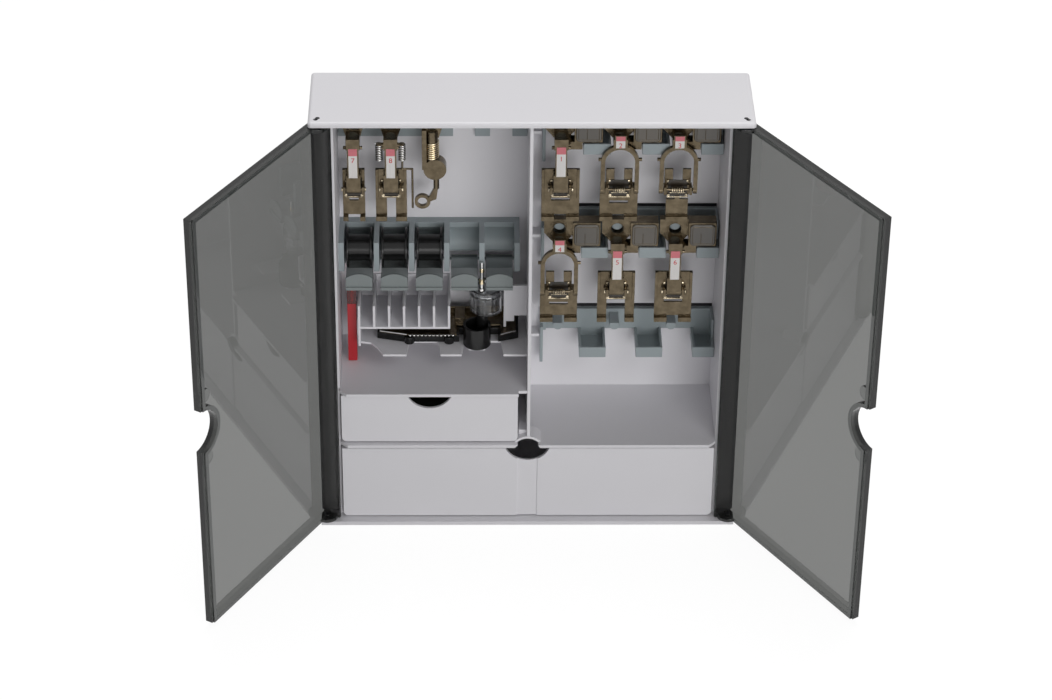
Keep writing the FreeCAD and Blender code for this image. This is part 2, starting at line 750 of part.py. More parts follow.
def make_door(side):
    """Build a door closed, with its pivot at the origin, and turn it open about the pivot."""
    name = side_name(side)
    low_z = "(base_thick + door_gap)"
    high_z = "(%s - door_gap)" % ROOF_UNDER
    hinge_x = "(-pivot_inset)"
    free_x = "(%s - door_gap)" % PIVOT_X
    outer_y = "(-door_face_reach)"
    panel_y = "(door_panel_thick - door_face_reach)"
    rim_y = "(%s + door_rim_deep)" % panel_y
    flange_y = "(door_flange_deep - door_face_reach)"

    def slab(part, low_x, high_x, lows, highs):
        near, far = span(-side, low_x, high_x)
        return box("%s_door_%s" % (name, part), (near,) + lows, (far,) + highs)

    def disc(part, along, centre, radius, low, high):
        at = ("%d * (%s)" % (-side, centre[0]), centre[1])
        return rod("%s_door_%s" % (name, part), along, at, radius, low, high)

    notch = (free_x, "door_notch_z")
    rim_ring = disc("notch_rim", "y", notch, "door_notch_radius + door_rim_wide", outer_y, rim_y)
    ring_room = slab("ring_room", free_x + " - 2 * door_notch_radius", free_x,
                     (outer_y, low_z), (rim_y, high_z))
    parts = [
        slab("panel", hinge_x, free_x, (outer_y, low_z), (panel_y, high_z)),
        slab("flange", hinge_x, hinge_x + " + door_flange_thick", (outer_y, low_z), (flange_y, high_z)),
        slab("low_rim", hinge_x, free_x, (outer_y, low_z), (rim_y, low_z + " + door_rim_wide")),
        slab("high_rim", hinge_x, free_x, (outer_y, high_z + " - door_rim_wide"), (rim_y, high_z)),
        slab("free_rim", free_x + " - door_rim_wide - door_edge_step", free_x,
             (outer_y, low_z), (rim_y, high_z)),
        common(name + "_door_notch_ring", rim_ring, ring_room),
    ]
    for tag, low, high in (
            ("low", low_z, low_z + " + knuckle_thick"), ("high", high_z + " - knuckle_thick", high_z)):
        parts.append(disc(tag + "_knuckle", "z", ("0", "0"), "knuckle_radius", low, high))
    for tag, sign in (("low", "-"), ("high", "+")):
        centre = (free_x + " - door_rim_wide - catch_radius", "door_notch_z %s catch_offset" % sign)
        parts.append(disc(tag + "_catch", "y", centre, "catch_radius", outer_y, panel_y + " + catch_thick"))
    reach = "door_face_reach"
    step_y = "(%s - door_edge_step)" % rim_y
    tools = [
        disc("notch", "y", notch, "door_notch_radius", outer_y, rim_y),
        disc("pivot", "z", ("0", "0"), "hinge_pin_radius + hinge_fit", low_z, high_z),
        slab("edge_step", free_x + " - door_edge_step", free_x, (step_y, low_z), (rim_y, high_z)),
        slab("knuckle_trim", hinge_x + " - " + reach, hinge_x, ("-2 * " + reach, low_z),
             ("2 * " + reach, high_z)),
        slab("face_trim", hinge_x, "2 * " + reach, ("-2 * " + reach, low_z), (outer_y, high_z)),
    ]
    door = cut(name + "_door_leaf", fuse(name + "_door_solid", parts), tools)
    door.Placement.Rotation = FreeCAD.Rotation(VECTOR(0, 0, side), 1)
    door.setExpression("Placement.Rotation.Angle", bound(name + "_door_angle"))
    place(door, "%d * %s" % (side, PIVOT_X), "pivot_y", "0")
    piece(name + "_door", door)


# ---------------------------------------------------------------- drawers

def drawer_tray(name, left_x, right_x, low_z, high_z, notch_x):
    """A tray with rounded lower corners, a finger notch in its front, and the inside cleared."""
    front_y = "drawer_front_y"
    back_y = "(wall_y - drawer_back_gap)"
    outline = [(left_x, low_z), (right_x, low_z), (right_x, high_z), (left_x, high_z)]
    block = pad(name + "_block", "XZ", outline, front_y, back_y)
    floor_z = number(low_z)

    def lower_corner(middle, bounds):
        return abs(middle.z - floor_z) < 0.01 and bounds.YLength > 1 and bounds.XLength < 0.01

    round_edges(block, "drawer_corner_round", lower_corner)
    tools = [
        box(name + "_inside",
            (left_x + " + drawer_wall", "drawer_front_y + drawer_front_thick", low_z + " + drawer_wall"),
            (right_x + " - drawer_wall", back_y + " - drawer_wall", high_z)),
        common(
            name + "_notch",
            rod(name + "_notch_round", "y", (notch_x, high_z + " + finger_notch_rise"),
                "finger_notch_radius", front_y, front_y + " + drawer_front_thick"),
            box(name + "_notch_room",
                (notch_x + " - finger_notch_radius", front_y, high_z + " - finger_notch_deep"),
                (notch_x + " + finger_notch_radius", front_y + " + drawer_front_thick", high_z))),
    ]
    return block, tools


def make_large_drawer():
    half = "(liner_x - drawer_fit)"
    low_z = "(base_thick + drawer_under_gap)"
    high_z = "(deck_top_z - deck_thick - large_drawer_top_gap)"
    block, tools = drawer_tray("large_drawer", "-" + half, half, low_z, high_z, "finger_x")
    tools.append(box(
        "large_channel", ("finger_x - channel_wide / 2", "drawer_front_y", low_z),
        ("finger_x + channel_wide / 2", "drawer_front_y + channel_sink", high_z)))
    partition = box(
        "large_partition",
        ("large_partition_x - drawer_wall / 2", "drawer_front_y + drawer_front_thick",
         low_z + " + drawer_wall"),
        ("large_partition_x + drawer_wall / 2", "wall_y - drawer_back_gap - drawer_wall",
         "partition_top_z"))
    piece("large_drawer", fuse("large_tray", [cut("large_drawer_hollow", block, tools), partition]))


def make_small_drawer():
    left_x = "-(liner_x - drawer_fit)"
    low_z = "(deck_top_z + drawer_under_gap)"
    block, tools = drawer_tray(
        "small_drawer", left_x, "small_drawer_right_x", low_z, "small_drawer_top_z", "small_notch_x")
    piece("small_drawer", cut("small_drawer_hollow", block, tools))
    low_pad_z = low_z + " + drawer_wall"
    disc = rod("pad_disc", "z", ("small_notch_x", "pad_y"), "pad_radius", low_pad_z,
               low_pad_z + " + pad_thick")
    piece("round_pad", disc)


def make_extension_foot(side):
    """Bar that slides out of the back of a side wall and keeps the cabinet from tipping."""
    name = side_name(side)
    lip_y = "(cabinet_deep + rest_gap)"
    far = FOOT_LOW_X + " + foot_bar_wide"
    bar = box(name + "_bar", *beside(
        side, FOOT_LOW_X, far, ("foot_bar_front_y", "0"), (lip_y, "foot_bar_high")))
    lip = box(name + "_lip", *beside(
        side, FOOT_LOW_X + " - foot_lip_over", far + " + foot_lip_over",
        (lip_y, "0"), (lip_y + " + foot_lip_thick", "foot_bar_high + foot_lip_over")))
    piece(name + "_extension_foot", fuse(name + "_foot", [bar, lip]))


# ---------------------------------------------------------------- peg holders

def peg(name, x, z):
    """Half-round peg that a presser foot hangs on."""
    centre_z = "(%s + rest_gap)" % z
    core = rod(name + "_core", "y", (x, centre_z), "peg_wide / 2", "peg_tip_y",
               "holder_front_y + holder_thick / 2")
    room = box(name + "_room", (x + " - peg_wide", "peg_tip_y", z + " - peg_wide"),
               (x + " + peg_wide", "holder_front_y + holder_thick / 2", z + " + peg_top"))
    return common(name, core, room)


def cup(name, low_x, high_x, z):
    """Open-topped pocket under a presser foot's clamp."""
    top = "%s - cup_top" % z
    bottom = "%s - cup_bottom" % z
    shell = box(name + "_shell", (low_x, "cup_front_y", bottom),
                (high_x, "holder_front_y + holder_thick / 2", top))
    room = box(name + "_room", (low_x + " + cup_wall", "cup_front_y + cup_wall", bottom + " + cup_wall"),
               (high_x + " - cup_wall", "holder_front_y", top))
    return shell, room


def make_right_holder(row):
    name = "foot_holder_%d" % (row + 1)
    z = peg_row_z(row)
    end_x = "(liner_x - holder_end_gap)"
    bottom = z + " - holder_back_reach"
    solids = [
        box(name + "_plate", ("holder_left_x", "holder_front_y", bottom),
            (end_x, "wall_y", z + " + holder_top_reach")),
        box(name + "_end", (end_x + " - cup_wall", "peg_tip_y", z + " - cup_bottom"),
            (end_x, "wall_y", z + " + holder_top_reach")),
        box(name + "_clip", ("holder_left_x", "clip_front_y", z + " - 3 * holder_back_reach"),
            ("holder_left_x + clip_wide", "holder_front_y", z + " - holder_back_reach / 2")),
        box(name + "_clip_root", ("holder_left_x", "holder_front_y - clip_wide", bottom),
            ("holder_left_x + 2 * clip_wide", "holder_front_y + clip_wide", z)),
    ]
    rooms = []
    for index in range(PEGS_A_ROW):
        x = "(peg_first_x + %d * peg_pitch)" % index
        solids.append(peg("%s_peg_%d" % (name, index + 1), x, z))
        low_x = "(%s + cup_offset)" % x
        high_x = "(%s)" % end_x if index == PEGS_A_ROW - 1 else "(%s + cup_wide)" % low_x
        shell, room = cup("%s_cup_%d" % (name, index + 1), low_x, high_x, z)
        solids.append(shell)
        rooms.append(room)
    piece(name, cut(name + "_cut", fuse(name + "_solid", solids), rooms))


def make_left_holder():
    z = peg_row_z(0)
    solids = [
        box("left_plate", ("-liner_x + rest_gap", "holder_front_y", z + " - left_plate_drop"),
            ("left_plate_right_x", "wall_y", z + " + holder_top_reach")),
        box("left_plate_bar", ("left_plate_right_x - rest_gap", "holder_front_y", z),
            ("-divider_thick / 2 - rest_gap", "wall_y", z + " + holder_top_reach")),
    ]
    tab_end = "-divider_thick / 2 - rest_gap"
    for index, (low_x, high_x) in enumerate((
            ("left_tab_x", "left_tab_x + left_tab_wide"), (tab_end + " - left_tab_wide",
                                                           tab_end)), start=1):
        solids.append(box("left_tab_%d" % index, (low_x, "holder_front_y", z + " - left_plate_drop"),
                          (high_x, "wall_y", z + " + holder_top_reach / 2")))
    for number_word in ("first", "second", "third"):
        solids.append(peg("left_peg_" + number_word, "left_peg_%s_x" % number_word, z))
    piece("foot_holder_left", fuse("left_holder", solids))


# ---------------------------------------------------------------- presser feet

def foot_head(name, half_wide):
    """Head plate with the hole that hangs on the peg, about the peg's axis."""
    back_y = "head_front_y + head_thick"
    outline = [
        ("-(%s)" % half_wide, "head_top"), ("-(%s)" % half_wide, "-head_bottom / 3"),
        ("-neck_half_wide", "-head_bottom"), ("neck_half_wide", "-head_bottom"),
        (half_wide, "-head_bottom / 3"), (half_wide, "head_top"),
    ]
    plate = pad(name + "_head", "XZ", outline, "head_front_y", back_y)
    hole = rod(name + "_head_hole", "y", ("0", "-head_hole_drop"), "head_hole_radius", "head_front_y",
               back_y)
    return plate, hole


def foot_clamp(name):
    """Square block beside the head, with a sunk window in its face."""
    block = fuse(name + "_clamp", [
        box(name + "_clamp_block", ("clamp_left", "clamp_front_y", "-clamp_bottom"),
            ("clamp_right", "head_front_y + clamp_deep - rest_gap", "clamp_top")),
        box(name + "_tab", ("neck_half_wide / 2", "clamp_front_y", "-clamp_bottom - tab_high"),
            ("tab_reach", "clamp_front_y + tab_deep", "-clamp_bottom + rest_gap")),
    ])
    middle = "(clamp_left + clamp_right) / 2"
    window = box(
        name + "_window",
        (middle + " - clamp_window_wide / 2", "clamp_front_y",
         "(clamp_top - clamp_bottom - clamp_window_high) / 2"),
        (middle + " + clamp_window_wide / 2", "clamp_front_y + clamp_window_sink",
         "(clamp_top - clamp_bottom + clamp_window_high) / 2"))
    return block, window


def ankle(name, half_wide):
    """Round end of the shank, bored for the sole's pin."""
    centre = ("ankle_y", "-ankle_drop")
    barrel = rod(name + "_barrel", "x", centre, "ankle_radius", "-(%s)" % half_wide, half_wide)
    bore = rod(name + "_bore", "x", centre, "ankle_pin_radius + ankle_fit", "-(%s)" % half_wide, half_wide)
    return barrel, bore


def neck_ears(name, half_wide, drop):
    """Ends of a cross pin that stand out on both sides of a neck."""
    reach = half_wide + " + neck_ear_reach"
    centre = ("neck_front_y + neck_thick / 2", "-(%s)" % drop)
    return rod(name + "_ears", "x", centre, "neck_ear_radius", "-(%s)" % reach, reach)


def straight_shank(name, head_half, clamped, fittings):
    """Shank with one straight neck from head to ankle."""
    plate, hole = foot_head(name, head_half)
    barrel, bore = ankle(name, "ankle_half_wide")
    neck_back = "neck_front_y + neck_thick"
    solids = [
        plate, barrel,
        box(name + "_shoulder", ("-neck_half_wide", "neck_front_y", "-head_bottom - neck_thick"),
            ("neck_half_wide", "head_front_y + head_thick", "-head_bottom / 2")),
        box(name + "_neck", ("-neck_face_half", "neck_front_y", "-neck_bottom"),
            ("neck_face_half", neck_back, "-head_bottom / 2")),
        neck_ears(name, "neck_half_wide", "head_bottom + neck_thick / 2"),
        box(name + "_heel", ("-ankle_half_wide", "neck_front_y + neck_thick / 4", "-ankle_drop"),
            ("ankle_half_wide", neck_back, "-neck_bottom + neck_thick / 2")),
    ] + fittings
    tools = [hole, bore]
    if clamped:
        block, window = foot_clamp(name)
        solids.append(block)
        tools.append(window)
    return cut(name + "_shank_cut", fuse(name + "_shank_solid", solids), tools)


def forked_shank(name):
    """Shank whose neck opens into an arch, with an ankle on each side."""
    plate, hole = foot_head(name, "head_half_wide")
    block, window = foot_clamp(name)
    back_y = "(neck_front_y + neck_thick)"
    inner = "(fork_outer - fork_arm_wide)"
    solids = [
        plate, block,
        box(name + "_neck", ("-neck_half_wide", "neck_front_y", "-fork_arch_drop - fork_arm_wide"),
            ("neck_half_wide", "head_front_y + head_thick", "-head_bottom / 2")),
        box(name + "_brow", ("-neck_face_half", "neck_front_y", "-fork_arch_drop"),
            ("neck_face_half", back_y, "-fork_neck_top")),
    ]
    outer_arch = rod(name + "_arch", "y", ("0", "-fork_arch_drop - fork_outer"), "fork_outer",
                     "neck_front_y", back_y)
    legs = box(name + "_legs", ("-fork_outer", "neck_front_y", "-ankle_drop + ankle_radius / 2"),
               ("fork_outer", back_y, "-fork_arch_drop - fork_outer"))
    rooms = [
        rod(name + "_arch_room", "y", ("0", "-fork_arch_drop - fork_outer"), inner, "neck_front_y", back_y),
        box(name + "_leg_room", ("-" + inner, "neck_front_y", "-ankle_drop - ankle_radius"),
            (inner, back_y, "-fork_arch_drop - fork_outer")),
    ]
    ears = neck_ears(name, "fork_outer", "fork_ear_drop")
    arch = cut(name + "_fork", fuse(name + "_fork_solid", [outer_arch, legs, ears]), rooms)
    tools = [hole, window]
    solids.append(arch)
    for side in (LEFT, RIGHT):
        low, high = span(side, inner, "fork_outer")
        tag = "%s_%s" % (name, side_name(side))
        centre = ("ankle_y", "-ankle_drop")
        solids.append(rod(tag + "_barrel", "x", centre, "ankle_radius", low, high))
        solids.append(box(tag + "_heel", (low, "neck_front_y + neck_thick / 4", "-ankle_drop"),
                          (high, back_y, "-ankle_drop + 2 * ankle_radius")))
        tools.append(rod(tag + "_bore", "x", centre, "ankle_pin_radius + ankle_fit", low, high))
    return cut(name + "_shank_cut", fuse(name + "_shank_solid", solids), tools)


def sole_lugs(name, inner, outer, pin_half):
    """Pair of lugs on the sole and the pin that the shank turns on."""
    solids = []
    for side in (LEFT, RIGHT):
        low, high = span(side, inner, outer)
        tag = "%s_%s_lug" % (name, side_name(side))
        lows = (low, "ankle_y - ankle_radius", "-ankle_drop - ankle_radius")
        highs = (high, "sole_front_y + sole_thick / 2", "-ankle_drop + ankle_radius")
        solids.append(box(tag, lows, highs))
    centre = ("ankle_y", "-ankle_drop")
    solids.append(rod(name + "_pin", "x", centre, "ankle_pin_radius", "-(%s)" % pin_half, pin_half))
    return solids


def plain_sole(name, open_toe, half_wide, slot_half):
    """Flat sole with side rails, needle opening and turned-up toes."""
    back_y = "(sole_front_y + sole_thick)"
    lug_in = "ankle_half_wide + ankle_side_gap"
    solids = [box(name + "_plate", ("-" + half_wide, "sole_front_y", "-sole_bottom"),
                  (half_wide, back_y, "-sole_top"))]
    for side in (LEFT, RIGHT):
        low, high = span(side, half_wide + " - sole_rail_wide", half_wide)
        solids.append(box("%s_%s_rail" % (name, side_name(side)),
                          (low, "sole_front_y - sole_rail_rise", "-needle_slot_drop"),
                          (high, back_y, "-sole_top")))
    solids.append(box(name + "_toe", ("-" + half_wide, "sole_front_y - sole_toe_rise", "-sole_bottom"),
                      (half_wide, back_y, "-sole_bottom + sole_toe_high")))
    lug_out = lug_in + " + sole_lug_thick"
    solids += sole_lugs(name, lug_in, lug_out, lug_out)
    slot_top = "-needle_slot_drop"
    if open_toe:
        tools = [box(name + "_toe_room", ("-" + slot_half, "sole_front_y - sole_toe_rise", "-sole_bottom"),
                     (slot_half, back_y, slot_top))]
    else:
        tools = [
            box(name + "_slot", ("-" + slot_half, "sole_front_y", slot_top + " - needle_slot_high"),
                (slot_half, back_y, slot_top)),
            box(name + "_toe_gap", ("-toe_gap_half", "sole_front_y - sole_toe_rise", "-sole_bottom"),
                ("toe_gap_half", back_y, "-sole_bottom + toe_gap_high")),
        ]
    return cut(name + "_sole_cut", fuse(name + "_sole_solid", solids), tools)


def forked_sole(name, narrow):
    """Sole that hangs inside a fork, with an open centre."""
    back_y = "(sole_front_y + sole_thick)"
    inner = "(fork_outer - fork_arm_wide - ankle_side_gap)"
    toe_half = "narrow_toe_half" if narrow else "sole_half_wide"
    bridge_z = "(-narrow_bridge_drop)" if narrow else "(-needle_slot_drop - needle_slot_high)"
    toe_z = "-narrow_toe_drop" if narrow else bridge_z + " - needle_slot_high"
    solids = [
        box(name + "_plate", ("-narrow_sole_half", "sole_front_y", bridge_z),
            ("narrow_sole_half", back_y, "-sole_top")),
        box(name + "_toe_plate", ("-" + toe_half, "sole_front_y", "-sole_bottom"),
            (toe_half, back_y, toe_z)),
        box(name + "_toe", ("-" + toe_half, "sole_front_y - sole_toe_rise", "-sole_bottom"),
            (toe_half, back_y, "-sole_bottom + sole_toe_high")),
    ]
    tools = [box(name + "_open",
                 ("-2 * stem_half", "ankle_y + ankle_radius", "-ankle_drop + ankle_radius / 2"),
                 ("2 * stem_half", back_y, "-sole_top"))]
    if narrow:
        solids.append(box(name + "_stem", ("-stem_half", "sole_front_y", "-sole_bottom"),
                          ("stem_half", back_y, bridge_z)))
    else:
        solids.append(box(name + "_sides", ("-sole_half_wide", "sole_front_y", "-sole_bottom"),
                          ("sole_half_wide", back_y, "-ankle_drop + ankle_radius")))
        tools.append(box(name + "_slot",
                         ("-needle_slot_half", "sole_front_y", bridge_z + " - needle_slot_high"),
                         ("needle_slot_half", back_y, bridge_z)))
        tools.append(box(name + "_toe_gap",
                         ("-toe_gap_half", "sole_front_y - sole_toe_rise", "-sole_bottom"),
                         ("toe_gap_half", back_y, "-sole_bottom + toe_gap_high")))
    solids += sole_lugs(name, inner + " - sole_lug_thick", inner, "fork_outer")
    return cut(name + "_sole_cut", fuse(name + "_sole_solid", solids), tools)


def hang(node, solid, x, row):
    """Hang a piece of a presser foot on the peg at x in one row."""
    piece(node, place(solid, x, "0", peg_row_z(row)))


def make_right_feet():
    """Two rows of three presser feet, each with its own kind of sole."""
    kinds = (("closed", "forked", "narrow"), ("forked", "open", "closed"))
    for row, row_kinds in enumerate(kinds):
        for index, kind in enumerate(row_kinds):
            name = "foot_%d_%d" % (row + 1, index + 1)
            x = "peg_first_x + %d * peg_pitch" % index
            if kind in ("closed", "open"):
                shank = straight_shank(name, "head_half_wide", True, [])
                sole = plain_sole(name, kind == "open", "sole_half_wide", "needle_slot_half")
            else:
                shank = forked_shank(name)
                sole = forked_sole(name, kind == "narrow")
            hang(name + "_shank", shank, x, row)
            hang(name + "_sole", sole, x, row)


def hopping_shank(name):
    """Shank with a spring barrel above a drum that guides the ring's plunger."""
    plate, hole = foot_head(name, "slim_head_half")
    middle_y = "(head_front_y + drum_thick / 2 - neck_thick)"
    barrel = rod(name + "_barrel", "z", ("0", middle_y), "hopping_barrel_radius",
                 "-hopping_barrel_drop", "-head_bottom / 2")
    drum_back = "(%s + drum_thick / 2)" % middle_y
    drum_front = "(%s - drum_thick / 2)" % middle_y
    drum = rod(name + "_drum", "y", ("drum_x", "-drum_drop"), "drum_radius", drum_front, drum_back)
    strap = box(name + "_strap", ("-slim_head_half", drum_front, "-drum_drop"),
                ("-slim_head_half + neck_thick", drum_back, "-head_bottom / 3"))
    bore = rod(name + "_plunger_bore", "z", ("plunger_x", middle_y), "plunger_radius + plunger_fit",
               "-drum_drop - drum_radius", "-plunger_top + plunger_travel + rest_gap")
    solids = fuse(name + "_shank_solid", [plate, barrel, drum, strap])
    return cut(name + "_shank_cut", solids, [hole, bore]), middle_y


def ring_plunger(name, middle_y):
    """Plunger of the hopping foot: a stem in the drum, a bent arm and the ring round the needle."""
    front = middle_y + " - ring_thick / 2"
    back = middle_y + " + ring_thick / 2"
    stem = rod(name + "_stem", "z", ("plunger_x", middle_y), "plunger_radius", "-plunger_bottom",
               "-plunger_top")
    outline = [
        ("plunger_x - ring_arm_half", "-plunger_bottom + ring_arm_half"),
        ("plunger_x + ring_arm_half", "-plunger_bottom + ring_arm_half"),
        ("plunger_x", "-ring_drop + ring_wall"), ("ring_x + ring_radius - ring_wall / 2", "-ring_drop"),
        ("ring_x + ring_radius - ring_wall / 2", "-ring_drop + ring_radius - ring_wall"),
    ]
    arm = pad(name + "_arm", "XZ", outline, front, back)
    ring = rod(name + "_ring", "y", ("ring_x", "-ring_drop"), "ring_radius", front, back)
    eye = rod(name + "_eye", "y", ("ring_x", "-ring_drop"), "ring_radius - ring_wall", front, back)
    return cut(name + "_plunger_cut", fuse(name + "_plunger_solid", [stem, arm, ring]), [eye])


def guide_fittings(name):
    """Springs on both sides of a neck, and the bent wire that guides the hem."""
    low = "-guide_spring_bottom"
    wire_y = "(neck_front_y + neck_thick / 2)"
    wire_z = "-guide_wire_drop"
    solids = []
    for side in (LEFT, RIGHT):
        tag = "%s_%s" % (name, side_name(side))
        x = "%d * guide_spring_x" % side
        solids.append(rod(tag + "_spring", "z", (x, wire_y), "guide_spring_radius", low,
                          "-guide_spring_top"))
        near, far = span(side, "0", "guide_spring_x")
        solids.append(box(tag + "_spring_arm",
                          (near, "neck_front_y", "-guide_spring_top - 2 * guide_wire_radius"),
                          (far, "neck_front_y + neck_thick", "-guide_spring_top")))
    solids.append(rod(name + "_drop_wire", "z", ("guide_spring_x", wire_y), "guide_wire_radius",
                      wire_z + " - guide_wire_radius / 2", low + " + guide_spring_radius"))
    solids.append(rod(name + "_cross_wire", "x", (wire_y, wire_z), "guide_wire_radius",
                      "guide_spring_x", "guide_wire_x"))
    solids.append(rod(name + "_long_wire", "z", ("guide_wire_x", wire_y), "guide_wire_radius",
                      "-guide_wire_bottom", wire_z + " + guide_wire_radius / 2"))
    return solids


def make_left_feet():
    """Three presser feet on the left holder: a slim one, one with guides and a hopping one."""
    slim = "left_foot_1"
    hang(slim + "_shank", straight_shank(slim, "slim_head_half", False, []), "left_peg_first_x", 0)
    hang(slim + "_sole", plain_sole(slim, False, "slim_sole_half", "slim_slot_half"), "left_peg_first_x", 0)
    guided = "left_foot_2"
    shank = straight_shank(guided, "slim_head_half", False, guide_fittings(guided))
    hang(guided + "_shank", shank, "left_peg_second_x", 0)
    sole = plain_sole(guided, True, "(slim_sole_half + slim_slot_half)", "slim_slot_half")
    hang(guided + "_sole", sole, "left_peg_second_x", 0)
    hopping = "left_foot_3"
    shank, middle_y = hopping_shank(hopping)
    hang(hopping + "_shank", shank, "left_peg_third_x", 0)
    hang(hopping + "_plunger", ring_plunger(hopping, middle_y), "left_peg_third_x", 0)


# ---------------------------------------------------------------- bobbins

def rack_wall_x(index):
    return "(%s + %d * rack_pitch)" % (RACK_X, index)


def slot_x(index):
    return "(%s + %s * rack_pitch)" % (RACK_X, index + 0.5)


def make_bobbin_rack():
    left_x = RACK_X + " - rack_wall / 2"
    right_x = rack_wall_x(KEY_COUNT) + " + rack_wall / 2"
    block = box("rack_back", (left_x, "rack_bar_y", "rack_wall_bottom_z"),
                (right_x, "wall_y", "rack_top_z"))
    rooms = []
    for index in range(KEY_COUNT):
        rooms.append(rod("rack_room_%d" % (index + 1), "x", ("bobbin_y", BOBBIN_Z),
                         "bobbin_radius + bobbin_fit",
                         rack_wall_x(index), rack_wall_x(index + 1)))
    solids = [cut("rack_back_cut", block, rooms)]
    for index in range(KEY_COUNT + 1):
        low_x = rack_wall_x(index) + " - rack_wall / 2"
        high_x = rack_wall_x(index) + " + rack_wall / 2"
        solids.append(box("rack_wall_%d" % (index + 1), (low_x, "rack_front_y", "rack_wall_bottom_z"),
                          (high_x, "wall_y", "rack_top_z")))
        solids.append(box("rack_ear_%d" % (index + 1),
                          (low_x, "key_pivot_y - key_barrel_radius", KEY_PIVOT_Z + " - key_barrel_radius"),
                          (high_x, "wall_y", "rack_wall_bottom_z")))
    pin = rod("key_pin", "x", ("key_pivot_y", KEY_PIVOT_Z), "key_pin_radius", left_x, right_x)
    piece("bobbin_rack", fuse("bobbin_rack_solid", solids + [pin]))


def make_bobbin_key(index):
    name = "bobbin_key_%d" % (index + 1)
    x = slot_x(index)
    low_x = x + " - key_wide / 2"
    high_x = x + " + key_wide / 2"
    low_z = "(key_top_z - key_thick)"
    lip_y = "(key_front_y - key_lip_thick)"
    arch_z = "key_lip_top_z + key_arch_rise - key_arch_radius"
    hinge = ("key_pivot_y", KEY_PIVOT_Z)
    solids = [
        box(name + "_plate", (low_x, "key_front_y", low_z), (high_x, "key_pivot_y", "key_top_z")),
        rod(name + "_barrel", "x", hinge, "key_barrel_radius", low_x, high_x),
        box(name + "_lip", (low_x, lip_y, low_z), (high_x, "key_front_y", "key_lip_top_z")),
        common(name + "_arch",
               rod(name + "_arch_round", "y", (x, arch_z), "key_arch_radius", lip_y, "key_front_y"),
               box(name + "_arch_room", (low_x, lip_y, "key_top_z"),
                   (high_x, "key_front_y", "rack_top_z"))),
        box(name + "_strip", (low_x, lip_y + " - key_strip_proud", low_z + " - key_strip_high"),
            (high_x, "key_front_y", low_z)),
    ]
    for side, near, far in ((LEFT, low_x, low_x + " + key_skirt"),
                            (RIGHT, high_x + " - key_skirt", high_x)):
        solids.append(box("%s_%s_skirt" % (name, side_name(side)),
                          (near, "key_front_y", low_z + " - key_strip_high"),
                          (far, "key_pivot_y - 2 * key_barrel_radius", low_z)))
    bore = rod(name + "_bore", "x", hinge, "key_pin_radius + hinge_fit", low_x, high_x)
    piece(name, cut(name + "_cut", fuse(name + "_solid", solids), [bore]))


def make_bobbin(index):
    name = "bobbin_%d" % (index + 1)
    x = slot_x(index)
    low_x = x + " - bobbin_wide / 2"
    high_x = x + " + bobbin_wide / 2"
    axis = ("bobbin_y", BOBBIN_Z)
    solids = [
        rod(name + "_hub", "x", axis, "bobbin_hub_radius", low_x, high_x),
        rod(name + "_left_flange", "x", axis, "bobbin_radius", low_x, low_x + " + bobbin_flange"),
        rod(name + "_right_flange", "x", axis, "bobbin_radius", high_x + " - bobbin_flange", high_x),
    ]
    bore = rod(name + "_bore", "x", axis, "bobbin_bore", low_x, high_x)
    piece(name, cut(name + "_cut", fuse(name + "_solid", solids), [bore]))


# ---------------------------------------------------------------- needle rack, tray and tools

def make_needle_rack():
    left_x = "needle_rack_left_x"
    right_x = "needle_rack_right_x"
    front_y = "needle_rack_front_y"
    top_z = "needle_floor_z + needle_rib_high"
    rib_pitch = "((%s - %s - thin_wall) / %d)" % (right_x, left_x, NEEDLE_RIBS - 1)
    solids = [
        box("needle_floor", (left_x, front_y, "needle_floor_z - thin_wall"),
            (right_x, "wall_y", "needle_floor_z")),
        box("needle_back", (left_x, "wall_y - thin_wall", "needle_floor_z - thin_wall"),
            (right_x, "wall_y", top_z)),
        box("needle_leg", (left_x, front_y, "tray_top_z"), (left_x + " + thin_wall", "wall_y", top_z)),
    ]
    for index in range(1, NEEDLE_RIBS):
        low_x = "%s + %d * %s" % (left_x, index, rib_pitch)
        solids.append(box("needle_rib_%d" % index, (low_x, front_y, "needle_floor_z - thin_wall"),
                          (low_x + " + thin_wall", "wall_y", top_z)))
    piece("needle_rack", fuse("needle_rack_solid", solids))


def make_tool_tray():
    left_x = "needle_rack_left_x"
    right_x = "-divider_thick / 2"
    slope = "thin_wall"
    outline = [
        (left_x, "wall_y"), (left_x, "tray_front_y"),
        ("(needle_rack_left_x + tray_first_tab_x) / 2", "tray_front_y - thin_wall"),
        ("tray_first_tab_x - 2 * thin_wall", "(tray_front_y + tray_tab_y) / 2"),
        ("tray_first_tab_x", "tray_tab_y"),
        ("tray_first_tab_end_x", "tray_tab_y"), ("tray_first_tab_end_x + " + slope, "tray_front_y"),
        ("tray_second_tab_x - " + slope, "tray_front_y"), ("tray_second_tab_x", "tray_tab_y"),
        ("tray_second_tab_end_x", "tray_tab_y"), ("tray_second_tab_end_x + " + slope, "tray_front_y"),
        ("tool_x - tool_tab_half", "tray_front_y"), ("tool_x - tool_tab_half", "tray_tool_tab_y"),
        ("tool_x + tool_tab_half", "tray_tool_tab_y"), ("tool_x + tool_tab_half", "tray_front_y"),
        ("tray_third_tab_x - " + slope, "tray_front_y"), ("tray_third_tab_x", "tray_tab_y"),
        (right_x, "tray_tab_y"), (right_x, "wall_y"),
    ]
    piece("tool_tray", pad("tray_slab", "XY", outline, "tray_top_z - thin_wall", "tray_top_z"))


